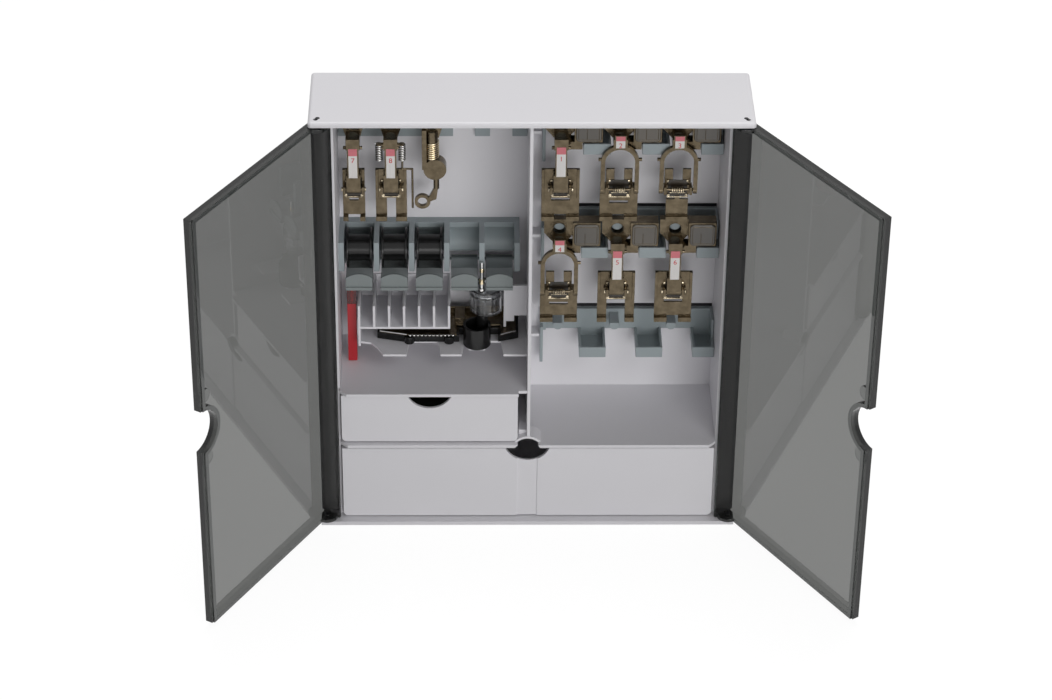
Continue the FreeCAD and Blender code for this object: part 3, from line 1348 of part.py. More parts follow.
def long_foot_outline(inset, front_y, teeth):
    """Plan of the long foot: straight back, drawn-back ends, teeth and a bay round the cup in front."""
    left_x = "long_foot_left_x + " + inset
    right_x = "long_foot_right_x - " + inset
    back_y = "long_foot_back_y - " + inset
    bay_left = "tool_x - tool_cup_radius - slide_room_left - " + inset
    bay_right = "tool_x + tool_cup_radius + slide_room_right + " + inset
    bay_y = "cup_room_y + " + inset
    nose_y = front_y + " + long_foot_nose"
    outline = [(left_x, back_y), (left_x, nose_y), ("taper_end_x + " + inset, front_y)]
    for index in range(teeth):
        low_x = "tooth_first_x + %d * tooth_pitch" % index
        outline += [(low_x, front_y), (low_x + " + tooth_pitch / 2", front_y + " - tooth_long")]
    if teeth:
        outline.append(("tooth_first_x + %d * tooth_pitch" % teeth, front_y))
    return outline + [(bay_left, front_y), (bay_left, bay_y), (bay_right, bay_y), (bay_right, front_y),
                      (right_x, nose_y), (right_x, back_y)]


def make_long_foot():
    body_top = "(%s + long_foot_body_high)" % STAND_Z
    base = pad("long_foot_base", "XY", long_foot_outline("0", "long_foot_front_y", 0), STAND_Z, body_top)
    knobs = []
    for word in ("first", "second"):
        knobs.append(rod("long_foot_knob_" + word, "z", ("knob_%s_x" % word, "long_foot_front_y"),
                         "knob_radius", STAND_Z, body_top))
    piece("long_foot_body", fuse("long_foot_solid", [base] + knobs))
    low_z = "(%s + rest_gap)" % body_top
    high_z = "(%s + slide_thick)" % low_z
    outline = long_foot_outline("thin_wall", "long_foot_front_y - slide_front_proud", TOOTH_COUNT)
    plate = pad("slide_plate", "XY", outline, low_z, high_z)
    rail_low = "long_foot_left_x + 2 * thin_wall"
    rail_high = "long_foot_right_x - 2 * thin_wall"
    back = "(long_foot_back_y - thin_wall)"
    rail = box("slide_rail", (rail_low, back + " - thin_wall", low_z),
               (rail_high, back, high_z + " + slide_rail_high"))
    bridge_x = "(tooth_first_x + %d * tooth_pitch)" % TOOTH_COUNT
    bridge = box("slide_bridge", (bridge_x, "cup_room_y + 2 * thin_wall", low_z),
                 (bridge_x + " + knob_radius * 2", back, high_z + " + slide_rail_high"))
    window = box("slide_window",
                 ("taper_end_x", "long_foot_front_y + 3 * thin_wall", low_z),
                 (bridge_x + " - 2 * thin_wall", back + " - 2 * thin_wall", high_z))
    piece("long_foot_slide", cut("slide_cut", fuse("slide_solid", [plate, rail, bridge]), [window]))


def make_tool():
    cup_top = "(%s + tool_cup_high)" % STAND_Z
    stem_top = "(%s + tool_stem_high)" % cup_top
    barrel_top = "(%s + tool_barrel_high)" % stem_top
    at = ("tool_x", "tool_y")
    shell = rod("tool_cup_shell", "z", at, "tool_cup_radius", STAND_Z, cup_top)
    room = rod("tool_cup_room", "z", at, "tool_cup_radius - thin_wall", STAND_Z + " + 2 * thin_wall",
               cup_top)
    stem = rod("tool_stem", "z", ("tool_x + tool_stem_x", "tool_y + tool_stem_y"), "tool_stem_radius",
               STAND_Z + " + thin_wall", stem_top)
    piece("tool_cup", fuse("tool_cup_solid", [cut("tool_cup_cut", shell, [room]), stem]))
    at = ("tool_barrel_x", "tool_y + tool_barrel_back")
    shell = rod("tool_barrel_shell", "z", at, "tool_barrel_radius", stem_top, barrel_top)
    room = rod("tool_barrel_room", "z", at, "tool_barrel_radius - thin_wall",
               stem_top + " + thin_wall", barrel_top + " - thin_wall")
    piece("tool_barrel", cut("tool_barrel_cut", shell, [room]))
    at = ("nozzle_x", "tool_y + nozzle_back")
    seat = rod("nozzle_seat", "z", at, "nozzle_seat_radius", barrel_top, barrel_top + " + nozzle_seat_high")
    tube = rod("nozzle_tube", "z", at, "nozzle_radius", barrel_top, barrel_top + " + nozzle_high")
    piece("tool_nozzle", fuse("nozzle_solid", [seat, tube]))


def make_seam_ripper():
    low_z = "(left_shelf_top_z + rest_gap)"
    handle_top = "(%s + ripper_handle_high)" % low_z
    cap_top = "(%s + ripper_cap_high)" % handle_top

    def column(name, inset, bottom, top):
        half_wide = "(ripper_wide / 2 - %s)" % inset
        half_deep = "(ripper_deep / 2 - %s)" % inset
        return box(name, ("ripper_x - " + half_wide, "ripper_y - " + half_deep, bottom),
                   ("ripper_x + " + half_wide, "ripper_y + " + half_deep, top))

    blade = rod("ripper_blade", "z", ("ripper_x", "ripper_y"), "ripper_blade_radius", handle_top,
                cap_top + " - 2 * ripper_cap_wall")
    piece("ripper_handle", fuse("ripper_solid", [column("ripper_grip", "0", low_z, handle_top), blade]))
    room = column("ripper_cap_room", "ripper_cap_wall", handle_top, cap_top + " - ripper_cap_wall")
    piece("ripper_cap", cut("ripper_cap_cut", column("ripper_cap_shell", "0", handle_top, cap_top), [room]))


make_roof()
make_base_plate()
make_back_panel()
for side in (LEFT, RIGHT):
    make_side_wall(side)
make_divider()
make_left_shelf()
make_middle_deck()
make_hinge_pins()
for side in (LEFT, RIGHT):
    make_door(side)
make_large_drawer()
make_small_drawer()
for side in (LEFT, RIGHT):
    make_extension_foot(side)
make_left_holder()
for row in range(PEG_ROWS):
    make_right_holder(row)
make_right_feet()
make_left_feet()
make_bobbin_rack()
for index in range(KEY_COUNT):
    make_bobbin_key(index)
for index in range(BOBBIN_COUNT):
    make_bobbin(index)
make_needle_rack()
make_tool_tray()
make_long_foot()
make_tool()
make_seam_ripper()

doc.recompute()
failed = [each.Name for each in doc.Objects if "Invalid" in each.State or "Error" in each.State]
if failed:
    raise RuntimeError("objects that failed: " + ", ".join(failed))
for each in pieces:
    if each.Shape.isNull() or not each.Shape.isValid():
        raise RuntimeError("bad shape: " + each.Label)
os.makedirs("parts", exist_ok=True)
for each in pieces:
    each.Shape.exportStep("parts/%s.step" % each.Label)
print("%d sub-parts" % len(pieces))
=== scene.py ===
"""Looks of the sewing accessory cabinet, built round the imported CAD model."""
import json
import math

import bmesh
import bpy
from mathutils import Matrix, Vector


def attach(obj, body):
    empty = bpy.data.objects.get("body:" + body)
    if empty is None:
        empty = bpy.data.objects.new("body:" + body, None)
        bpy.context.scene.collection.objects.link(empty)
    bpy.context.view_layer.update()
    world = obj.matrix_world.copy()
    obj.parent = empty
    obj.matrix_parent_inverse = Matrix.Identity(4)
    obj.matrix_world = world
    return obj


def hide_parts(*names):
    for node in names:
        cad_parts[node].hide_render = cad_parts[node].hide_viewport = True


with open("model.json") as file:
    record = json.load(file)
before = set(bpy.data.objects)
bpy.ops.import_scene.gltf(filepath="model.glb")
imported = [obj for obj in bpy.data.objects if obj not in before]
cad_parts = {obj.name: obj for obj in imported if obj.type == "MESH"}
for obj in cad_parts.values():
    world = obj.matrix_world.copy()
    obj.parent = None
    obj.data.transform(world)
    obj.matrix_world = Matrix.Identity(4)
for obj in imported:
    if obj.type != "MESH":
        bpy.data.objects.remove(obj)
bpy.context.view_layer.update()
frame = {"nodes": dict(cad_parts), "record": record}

MM = 0.001
NODES = frame["nodes"]
BODY_OF = {node: body for body, members in frame["record"]["behaviour"]["bodies"].items() for node in members}
SLOT_OF = {entry["node"]: entry["material_slot"] for entry in frame["record"]["subparts"]}

# Places that several small pieces go by, in mm. A foot is placed by the peg it hangs on.
FIRST_PEG_X = 17.7
PEG_PITCH = 33.83
PEG_Z = (250.0, 180.0, 110.0)
LEFT_PEG_X = (-101.7, -80.1, -56.5)
NECK_FACE_Y = 37.9
CLAMP_SIDES = (7.6, 23.83)
CLAMP_ENDS = (-8.6, 7.0)
CLAMP_FACE_Y = 42.2
TOOL_X, TOOL_Y = -25.0, 41.0

# How edges are found and rounded: angles in radians, slack in metres, and the width in mm.
SHARP_EDGE = math.radians(35.0)
FLAT_JOIN = math.radians(0.6)
SAME_PLACE = 1e-6
CORNER_SLACK = 2e-5
CLAMP_CORNER_WIDTH = 2.2


# ---------------------------------------------------------------- camera

def make_camera():
    position = Vector((-34.9795, -1587.1445, 1188.4898)) * MM
    pitch, yaw, roll = 0.5895, 0.0207, 0.0110
    focal_pixels, image_wide = 3286.8618, 1052.0
    ahead = Vector((math.sin(yaw), math.cos(yaw), 0.0))
    right = Vector((math.cos(yaw), -math.sin(yaw), 0.0))
    up = Vector((0.0, 0.0, 1.0))
    forward = ahead * math.cos(pitch) - up * math.sin(pitch)
    tilted_up = up * math.cos(pitch) + ahead * math.sin(pitch)
    side = right * math.cos(roll) + tilted_up * math.sin(roll)
    top = tilted_up * math.cos(roll) - right * math.sin(roll)
    data = bpy.data.cameras.new("camera")
    data.sensor_width = 36.0
    data.lens = focal_pixels / image_wide * data.sensor_width
    data.clip_start = 0.05
    data.clip_end = 20.0
    camera = bpy.data.objects.new("camera", data)
    bpy.context.scene.collection.objects.link(camera)
    turn = Matrix((side, top, -forward)).transposed().to_4x4()
    camera.matrix_world = Matrix.Translation(position) @ turn
    bpy.context.scene.camera = camera


# ---------------------------------------------------------------- materials

def new_material(name):
    material = bpy.data.materials.new(name)
    material.use_nodes = True
    tree = material.node_tree
    shader = tree.nodes["Principled BSDF"]
    return material, tree, shader


def noise(tree, scale, detail, roughness):
    where = tree.nodes.new("ShaderNodeTexCoord")
    texture = tree.nodes.new("ShaderNodeTexNoise")
    texture.inputs["Scale"].default_value = scale
    texture.inputs["Detail"].default_value = detail
    texture.inputs["Roughness"].default_value = roughness
    tree.links.new(where.outputs["Object"], texture.inputs["Vector"])
    return texture.outputs["Fac"]


def ramp(tree, factor, dark, light, low, high):
    node = tree.nodes.new("ShaderNodeValToRGB")
    node.color_ramp.elements[0].position = low
    node.color_ramp.elements[1].position = high
    node.color_ramp.elements[0].color = (*dark, 1.0)
    node.color_ramp.elements[1].color = (*light, 1.0)
    tree.links.new(factor, node.inputs["Fac"])
    return node.outputs["Color"]


def span(tree, factor, low, high):
    node = tree.nodes.new("ShaderNodeMapRange")
    node.inputs["To Min"].default_value = low
    node.inputs["To Max"].default_value = high
    tree.links.new(factor, node.inputs["Value"])
    return node.outputs["Result"]


def bump(tree, shader, factor, strength, distance):
    node = tree.nodes.new("ShaderNodeBump")
    node.inputs["Strength"].default_value = strength
    node.inputs["Distance"].default_value = distance
    tree.links.new(factor, node.inputs["Height"])
    tree.links.new(node.outputs["Normal"], shader.inputs["Normal"])


def moulded(name, dark, light, rough, grain_scale, grain, specular):
    """Moulded plastic: a slow drift of tone under a fine grain."""
    material, tree, shader = new_material(name)
    drift = noise(tree, scale=9.0, detail=2.0, roughness=0.5)
    tone = ramp(tree, drift, dark, light, low=0.2, high=0.8)
    tree.links.new(tone, shader.inputs["Base Color"])
    fine = noise(tree, grain_scale, detail=2.0, roughness=0.5)
    spread = 0.04
    tree.links.new(span(tree, fine, rough - spread, rough + spread), shader.inputs["Roughness"])
    bump(tree, shader, fine, strength=grain, distance=0.00002)
    shader.inputs["Specular IOR Level"].default_value = specular
    return material


def metal(name, dark, light, rough, wave, wave_scale):
    """Plated metal: small hollows that catch the light in points, a faint grain, and a drift between the dark
    and the light tone; where these lie far apart, the drift paints dark specks and bright glints into the
    metal.
    """
    material, tree, shader = new_material(name)
    drift = noise(tree, scale=260.0, detail=3.0, roughness=0.6)
    tone = ramp(tree, drift, dark, light, low=0.3, high=0.7)
    tree.links.new(tone, shader.inputs["Base Color"])
    fine = noise(tree, scale=2400.0, detail=2.0, roughness=0.5)
    spread = 0.05
    tree.links.new(span(tree, fine, rough - spread, rough + spread), shader.inputs["Roughness"])
    hollows = noise(tree, wave_scale, detail=2.0, roughness=0.6)
    bump(tree, shader, hollows, strength=wave, distance=0.0002)
    shader.inputs["Metallic"].default_value = 1.0
    return material


def clear(name, tint, rough, depth_tint=None, density=0.0):
    """Clear or smoked plastic: a surface tint and, where it has a density, a body that darkens long paths."""
    material, tree, shader = new_material(name)
    shader.inputs["Base Color"].default_value = (*tint, 1.0)
    fine = noise(tree, scale=90.0, detail=3.0, roughness=0.5)
    spread = 0.015
    tree.links.new(span(tree, fine, rough, rough + spread), shader.inputs["Roughness"])
    shader.inputs["Transmission Weight"].default_value = 1.0
    shader.inputs["IOR"].default_value = 1.49
    if density:
        body = tree.nodes.new("ShaderNodeVolumeAbsorption")
        body.inputs["Color"].default_value = (*depth_tint, 1.0)
        body.inputs["Density"].default_value = density
        tree.links.new(body.outputs["Volume"], tree.nodes["Material Output"].inputs["Volume"])
    return material


# Each line: dark and light tone, roughness, scale and depth of the grain, and the specular level.
MOULDED = {
    "white_plastic": ((0.755, 0.745, 0.775), (0.785, 0.775, 0.80), 0.40, 1100.0, 0.20, 0.5),
    "grey_plastic": ((0.30, 0.345, 0.36), (0.325, 0.37, 0.385), 0.45, 1100.0, 0.20, 0.5),
    "key_plastic": ((0.20, 0.225, 0.225), (0.225, 0.25, 0.25), 0.45, 1100.0, 0.20, 0.5),
    "seat_plastic": ((0.33, 0.36, 0.365), (0.36, 0.39, 0.395), 0.45, 1100.0, 0.20, 0.5),
    "dark_plastic": ((0.008, 0.008, 0.009), (0.011, 0.011, 0.012), 0.38, 1100.0, 0.15, 0.3),
    "black_plastic": ((0.006, 0.006, 0.006), (0.009, 0.009, 0.009), 0.22, 1100.0, 0.10, 0.35),
    "dark_pad": ((0.010, 0.014, 0.008), (0.035, 0.040, 0.026), 0.75, 420.0, 1.0, 0.5),
    "red_plastic": ((0.42, 0.015, 0.022), (0.50, 0.020, 0.028), 0.35, 900.0, 0.3, 0.5),
    # Near-black with a little brown: painted shade, for the thin sheet behind the ankle fittings.
    "pit_dark": ((0.010, 0.008, 0.006), (0.045, 0.034, 0.022), 0.25, 600.0, 0.8, 0.5),
    "label_white": ((0.72, 0.70, 0.68), (0.78, 0.76, 0.74), 0.40, 1100.0, 0.05, 0.5),
    "label_pink": ((0.62, 0.17, 0.20), (0.68, 0.20, 0.23), 0.40, 1100.0, 0.05, 0.5),
    "label_ink": ((0.55, 0.02, 0.03), (0.60, 0.03, 0.04), 0.45, 1100.0, 0.05, 0.5),
    "window_glass": ((0.012, 0.010, 0.007), (0.13, 0.105, 0.075), 0.10, 420.0, 0.9, 0.9),
}
# Each line: dark and light tone, roughness, and the depth and scale of the hollows.
PLATED = {
    "foot_metal": ((0.095, 0.075, 0.048), (0.165, 0.132, 0.088), 0.19, 0.8, 900.0),
    # glint_metal's tone runs from near black to bright gold, so its drift paints dark specks and bright
    # glints.
    "glint_metal": ((0.015, 0.012, 0.008), (0.95, 0.82, 0.60), 0.12, 1.0, 1500.0),
    "chrome": ((0.62, 0.62, 0.62), (0.78, 0.77, 0.75), 0.12, 0.12, 420.0),
    "gilt": ((0.80, 0.66, 0.42), (0.90, 0.78, 0.56), 0.10, 0.4, 420.0),
}
# Each line: surface tint and roughness, then the tint and density of the body where it has them.
SEE_THROUGH = {
    "smoked_plastic": ((0.30, 0.295, 0.29), 0.012, (0.40, 0.43, 0.42), 420.0),
    "clear_plastic": ((0.88, 0.89, 0.90), 0.03),
    "red_clear_plastic": ((0.60, 0.05, 0.06), 0.06),
}
MATERIALS = {}
for maker, looks in ((moulded, MOULDED), (metal, PLATED), (clear, SEE_THROUGH)):
    for name, look in looks.items():
        MATERIALS[name] = maker(name, *look)


# ---------------------------------------------------------------- CAD nodes with rounded edges

def round_edges(work, edges, width, segments):
    bmesh.ops.bevel(work, geom=edges, offset=width * MM, offset_type="OFFSET", segments=segments,
                    profile=0.5, affect="EDGES", clamp_overlap=True)


def sharp_edges(work):
    return [edge for edge in work.edges if edge.is_manifold and edge.calc_face_angle(0.0) > SHARP_EDGE]


def smooth_into(work, mesh):
    """Shades every face smooth and writes the work into a mesh."""
    for face in work.faces:
        face.smooth = True
    work.to_mesh(mesh)
    work.free()


def linked_piece(name, data):
    piece = bpy.data.objects.new(name, data)
    bpy.context.scene.collection.objects.link(piece)
    return piece


def weigh_normals(piece, keep_sharp):
    """Lets the large faces keep their shading flat, and the rounded edges carry the turn."""
    weighted = piece.modifiers.new("weighted", "WEIGHTED_NORMAL")
    weighted.keep_sharp = keep_sharp
    weighted.weight = 100


def on_corner(vert, corners):
    """Whether a vertex stands on one of the lines into the depth that pass through the corners (x, z)."""
    return any(abs(vert.co.x - x * MM) < CORNER_SLACK and abs(vert.co.z - z * MM) < CORNER_SLACK
               for x, z in corners)


def clamp_corners(node):
    """Corners (x, z) of the clamp on a foot in the right-hand bay, and none for any other node."""
    parts = node.split("_")
    if len(parts) != 4 or parts[0] != "foot" or parts[3] != "shank":
        return []
    row, column = int(parts[1]) - 1, int(parts[2]) - 1
    x, z = FIRST_PEG_X + PEG_PITCH * column, PEG_Z[row]
    return [(x + side, z + end) for side in CLAMP_SIDES for end in CLAMP_ENDS]


def softened(node, width):
    """A copy of a CAD node with its edges rounded, which stands for the node."""
    mesh = NODES[node].data.copy()
    work = bmesh.new()
    work.from_mesh(mesh)
    bmesh.ops.remove_doubles(work, verts=work.verts, dist=SAME_PLACE)
    bmesh.ops.dissolve_limit(work, angle_limit=FLAT_JOIN, verts=work.verts, edges=work.edges)
    corners = clamp_corners(node)
    along = [edge for edge in work.edges if all(on_corner(vert, corners) for vert in edge.verts)]
    if along:
        round_edges(work, along, CLAMP_CORNER_WIDTH, segments=5)
    round_edges(work, sharp_edges(work), width, segments=2)
    smooth_into(work, mesh)
    piece = linked_piece(node + "_shape", mesh)
    weigh_normals(piece, keep_sharp=True)
    mesh.materials.clear()
    mesh.materials.append(MATERIALS[SLOT_OF[node]])
    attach(piece, BODY_OF[node])
    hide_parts(node)


EDGE_WIDTH = {"smoked_plastic": 0.35, "white_plastic": 0.30, "foot_metal": 0.22, "grey_plastic": 0.28}
OTHER_EDGE_WIDTH = 0.25
for name in sorted(NODES):
    softened(name, EDGE_WIDTH.get(SLOT_OF[name], OTHER_EDGE_WIDTH))


# ---------------------------------------------------------------- small pieces

def finish_piece(work, name, body, material, width=0.0, segments=2):
    """Round a small piece's edges, give it its material and hang it on its body."""
    if width:
        round_edges(work, sharp_edges(work), width, segments)
    mesh = bpy.data.meshes.new(name)
    smooth_into(work, mesh)
    piece = linked_piece(name, mesh)
    weigh_normals(piece, keep_sharp=False)
    mesh.materials.append(MATERIALS[material])
    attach(piece, body)


def add_block(work, low, high):
    size = [(end - start) * MM for start, end in zip(low, high)]
    middle = [(end + start) / 2 for start, end in zip(low, high)]
    turn = Matrix.Translation(Vector(middle) * MM) @ Matrix.Diagonal((*size, 1.0))
    bmesh.ops.create_cube(work, size=1.0, matrix=turn)


def add_rod(work, sides, start, end, radius, far_radius=None):
    a, b = Vector(start) * MM, Vector(end) * MM
    turn = (b - a).to_track_quat("Z", "Y").to_matrix().to_4x4()
    far = radius if far_radius is None else far_radius
    bmesh.ops.create_cone(work, cap_ends=True, segments=sides, radius1=radius * MM, radius2=far * MM,
                          depth=(b - a).length, matrix=Matrix.Translation((a + b) / 2) @ turn)


def blocks(name, corners, body, material, width):
    work = bmesh.new()
    for low, high in corners:
        add_block(work, low, high)
    finish_piece(work, name, body, material, width)


def rods(name, bars, body, material, width, sides=24):
    """One piece of round bars, each given by its start, end, radius and, if it tapers, far radius."""
    work = bmesh.new()
    for bar in bars:
        add_rod(work, sides, *bar)
    finish_piece(work, name, body, material, width)


def coil(name, start, end, radius, turns, wire, body, material):
    """Wound wire spring between two points."""
    a, b = Vector(start), Vector(end)
    turn = (b - a).to_track_quat("Z", "Y").to_matrix()
    length = (b - a).length
    turn_steps = 16
    count = turns * turn_steps
    curve = bpy.data.curves.new(name, "CURVE")
    curve.dimensions = "3D"
    curve.bevel_depth = wire * MM
    curve.bevel_resolution = 3
    curve.use_fill_caps = True
    line = curve.splines.new("POLY")
    line.points.add(count)
    for index in range(count + 1):
        angle = 2.0 * math.pi * index / turn_steps
        around = Vector((radius * math.cos(angle), radius * math.sin(angle), length * index / count))
        line.points[index].co = (*((a + turn @ around) * MM), 1.0)
    curve.materials.append(MATERIALS[material])
    piece = linked_piece(name, curve)
    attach(piece, body)


# ---------------------------------------------------------------- presser feet's small parts

def label(name, x, z_low, z_high, band, half, number, body):
    """Stuck-on strip with a coloured band at the top and a plain number under it."""
    proud, sunk, edge = 0.14, 0.02, 0.05
    front_y, back_y = NECK_FACE_Y - proud, NECK_FACE_Y + sunk
    split = z_high - band
    blocks(name + "_strip", [((x - half, front_y, z_low), (x + half, back_y, split))], body,
           "label_white", edge)
    blocks(name + "_band", [((x - half, front_y, split), (x + half, back_y, z_high))], body,
           "label_pink", edge)
    digit_high, ink, head_room = 4.4, 0.02, 0.9
    text = bpy.data.curves.new(name + "_number", "FONT")
    text.body = number
    text.size = digit_high * MM
    text.align_x = "CENTER"
    text.align_y = "TOP"
    text.extrude = ink * MM
    text.materials.append(MATERIALS["label_ink"])
    piece = linked_piece(name + "_number", text)
    piece.location = Vector((x, front_y - ink, split - head_room)) * MM
    piece.rotation_euler = (math.radians(90.0), 0.0, 0.0)
    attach(piece, body)


def clamp_window(name, x, z, body):
    """Glassy face of a clamp: a domed pane, and thin bright bars that stand a little in front of it."""
    low_x, high_x = [x + side for side in CLAMP_SIDES]
    low_z, high_z = [z + end for end in CLAMP_ENDS]
    inset, pane_half, pane_corner, pane_edge = 0.7, 0.9, 2.4, 0.6
    least_run = 1e-4
    work = bmesh.new()
    add_block(work, (low_x + inset, CLAMP_FACE_Y - pane_half, low_z + inset),
              (high_x - inset, CLAMP_FACE_Y + pane_half, high_z - inset))
    into_depth = [edge for edge in work.edges if abs(edge.verts[0].co.y - edge.verts[1].co.y) > least_run]
    round_edges(work, into_depth, pane_corner, segments=6)
    finish_piece(work, name + "_pane", body, "window_glass", pane_edge, segments=3)
    margin, bar, bar_edge = 2.0, 0.35, 0.15
    left, right = low_x + margin, high_x - margin
    bottom, top = low_z + margin, high_z - margin
    front_y, back_y = CLAMP_FACE_Y - 1.05, CLAMP_FACE_Y + 0.2
    post_x = left + (right - left) * 0.42
    post_top = bottom + (top - bottom) * 0.45 + 2.0
    bars = [((left, front_y, top - bar), (right, back_y, top)),
            ((left, front_y, bottom), (right, back_y, bottom + bar)),
            ((left, front_y, bottom), (left + bar, back_y, top)),
            ((right - bar, front_y, bottom), (right, back_y, top)),
            ((post_x - bar / 2, front_y, bottom), (post_x + bar / 2, back_y, post_top))]
    blocks(name + "_bars", bars, body, "foot_metal", bar_edge)


ANKLE_DROP = 39.0
ANKLE_Y = 40.8
SOLE_Y = 43.9
# Each screw: its share of the half width, height from the ankle, front of its head, and radius.
PLATE_SCREWS = ((0.78, -5.2, 42.7, 0.95), (0.85, 4.2, 42.9, 0.8))
# Each lip: its share of the half width, low and high edge from the ankle, and front.
PLATE_LIPS = ((0.95, -6.7, -6.1, 42.9), (0.7, -3.6, -2.9, 42.4))


def ankle_fittings(name, x, peg_z, half, body):
    """Spring, plate screws and bright ends where the sole turns, all in glint metal with painted glints, and
    a near-black sheet of painted shade behind them.
    """
    z = peg_z - ANKLE_DROP
    spring_half, spring_shift = half * 0.55, 0.2
    spring_y, spring_z = ANKLE_Y - spring_shift, z - spring_shift
    coil(name + "_spring", (x - spring_half, spring_y, spring_z), (x + spring_half, spring_y, spring_z),
         radius=1.75, turns=7, wire=0.32, body=body, material="glint_metal")
    pin_radius, pin_out = 1.3, 1.1
    ends = []
    for side in (-1, 1):
        ends.append(((x + side * half, ANKLE_Y, z), (x + side * (half + pin_out), ANKLE_Y, z), pin_radius))
        for share, above, head_y, radius in PLATE_SCREWS:
            screw_x, screw_z = x + side * half * share, z + above
            ends.append(((screw_x, SOLE_Y, screw_z), (screw_x, head_y, screw_z), radius))
    rods(name + "_pins", ends, body, "glint_metal", width=0.25)
    # A thin near-black sheet just behind the screws and lips: painted shade where the sole turns at the
    # ankle.
    shade_patch_half = half * 0.86
    shade_patch = [((x - shade_patch_half, 43.3, z - 5.8), (x + shade_patch_half, 43.95, z + 4.8))]
    blocks(name + "_pit", shade_patch, body, "pit_dark", width=0.2)
    lips = [((x - half * share, front_y, z + low), (x + half * share, SOLE_Y, z + high))
            for share, low, high, front_y in PLATE_LIPS]
    blocks(name + "_lips", lips, body, "glint_metal", width=0.2)


# Feet of the right-hand bay, row by row, and their labels: foot and top below the peg, and the band.
FOOT_KINDS = (("closed", "fork", "narrow"), ("fork", "open", "closed"))
LONG_LABEL = (28.9, 9.4, 4.6)
SHORT_LABEL = (9.9, 2.2, 3.0)

number = 1
for row, kinds in enumerate(FOOT_KINDS):
    for column, kind in enumerate(kinds):
        x, z = FIRST_PEG_X + column * PEG_PITCH, PEG_Z[row]
        tag = "foot_%d_%d" % (row + 1, column + 1)
        full_sole = kind in ("closed", "open")
        label_foot, label_top, band = LONG_LABEL if full_sole else SHORT_LABEL
        ankle_half = 6.2 if full_sole else 6.6
        label(tag + "_label", x, z - label_foot, z - label_top, band,
              half=2.65, number=str(number), body=tag + "_shank")
        clamp_window(tag + "_window", x, z, tag + "_shank")
        ankle_fittings(tag + "_ankle", x, z, ankle_half, tag + "_sole")
        number += 1

left_z = PEG_Z[0]
for index, x in enumerate(LEFT_PEG_X[:2], start=1):
    tag = "left_foot_%d" % index
    label(tag + "_label", x, left_z - 29.8, left_z - 10.6, band=4.6,
          half=2.5, number=str(number), body=tag + "_shank")
    ankle_fittings(tag + "_ankle", x, left_z, half=6.0, body=tag + "_sole")
    number += 1

guide_off, guide_y = 6.6, 39.2
for side, side_name in ((-1, "left"), (1, "right")):
    x = LEFT_PEG_X[1] + side * guide_off
    coil("guide_spring_" + side_name, (x, guide_y, left_z - 18.2), (x, guide_y, left_z - 7.8),
         radius=1.85, turns=9, wire=0.35, body="left_foot_2_shank", material="chrome")
hopping_x, hopping_y = LEFT_PEG_X[2], 49.1
coil("hopping_spring", (hopping_x, hopping_y, left_z - 22.0), (hopping_x, hopping_y, left_z - 11.0),
     radius=3.75, turns=8, wire=0.5, body="left_foot_3_shank", material="gilt")


# ---------------------------------------------------------------- cabinet's small parts

# Thin dark strips on the back wall in rows 2 and 3: painted shadow along the top edge of each holder's back
# plate.
shadow_strip_left, shadow_strip_right = 8.5, 110.6
shadow_strip_front_y, shadow_strip_back_y = 66.2, 66.45
for row, z in enumerate(PEG_Z[1:], start=2):
    low, high = (shadow_strip_left, shadow_strip_front_y, z + 4.2), (shadow_strip_right, shadow_strip_back_y, z + 6.2)
    blocks("holder_slot_%d" % row, [(low, high)], "cabinet", "dark_plastic", width=0.05)

# Bobbin keys: the middle of the bobbins above them, and the seat each key has. Up to the depth
# SEAT_LOWEST_TO_Y a seat's underside stays above the key's own top.
BOBBIN_Y, BOBBIN_Z = 50.5, 165.7
KEYS_LEFT_X, KEY_PITCH, KEY_COUNT = -109.65, 20.5, 5
SEAT_HALF_WIDE, SEAT_THICK, SEAT_BACK_Y = 7.65, 1.2, 57.3
SEAT_LOWEST_Z, SEAT_LOWEST_TO_Y = 153.45, 52.0
SEAT_SLOPE = ((31.2, 153.7), (36.0, 154.1), (40.0, 154.7), (43.2, 155.75))
CRADLE_RADIUS, CRADLE_FIRST, CRADLE_STEP, CRADLE_POINTS = 12.15, -34.0, 9.0, 11


def seat_outline():
    """Side view (y, z) of a seat: along its top to the back, then along its underside to the front."""
    top = list(SEAT_SLOPE)
    for step in range(CRADLE_POINTS):
        angle = math.radians(CRADLE_FIRST + CRADLE_STEP * step)
        y, z = BOBBIN_Y + CRADLE_RADIUS * math.sin(angle), BOBBIN_Z - CRADLE_RADIUS * math.cos(angle)
        if y < SEAT_BACK_Y:
            top.append((y, z))
    under = []
    for y, z in reversed(top):
        lowest = SEAT_LOWEST_Z if y < SEAT_LOWEST_TO_Y else 0.0
        under.append((y, max(z - SEAT_THICK, lowest)))
    return top + under


def key_seat(name, middle_x, body):
    """Hollow seat on a bobbin key: a slope up from the lip, then a cradle under the bobbin."""
    outline = seat_outline()
    work = bmesh.new()
    sides = [[work.verts.new((x * MM, y * MM, z * MM)) for y, z in outline]
             for x in (middle_x - SEAT_HALF_WIDE, middle_x + SEAT_HALF_WIDE)]
    left, right = sides
    count = len(outline)
    for index in range(count):
        after = (index + 1) % count
        work.faces.new((left[index], left[after], right[after], right[index]))
    for side in sides:
        for index in range(count // 2 - 1):
            work.faces.new((side[index], side[index + 1], side[count - 2 - index], side[count - 1 - index]))
    bmesh.ops.recalc_face_normals(work, faces=work.faces)
    finish_piece(work, name, body, "seat_plastic")


for index in range(KEY_COUNT):
    middle_x = KEYS_LEFT_X + KEY_PITCH * (index + 0.5)
    key_seat("key_seat_%d" % (index + 1), middle_x, BODY_OF["bobbin_key_%d" % (index + 1)])

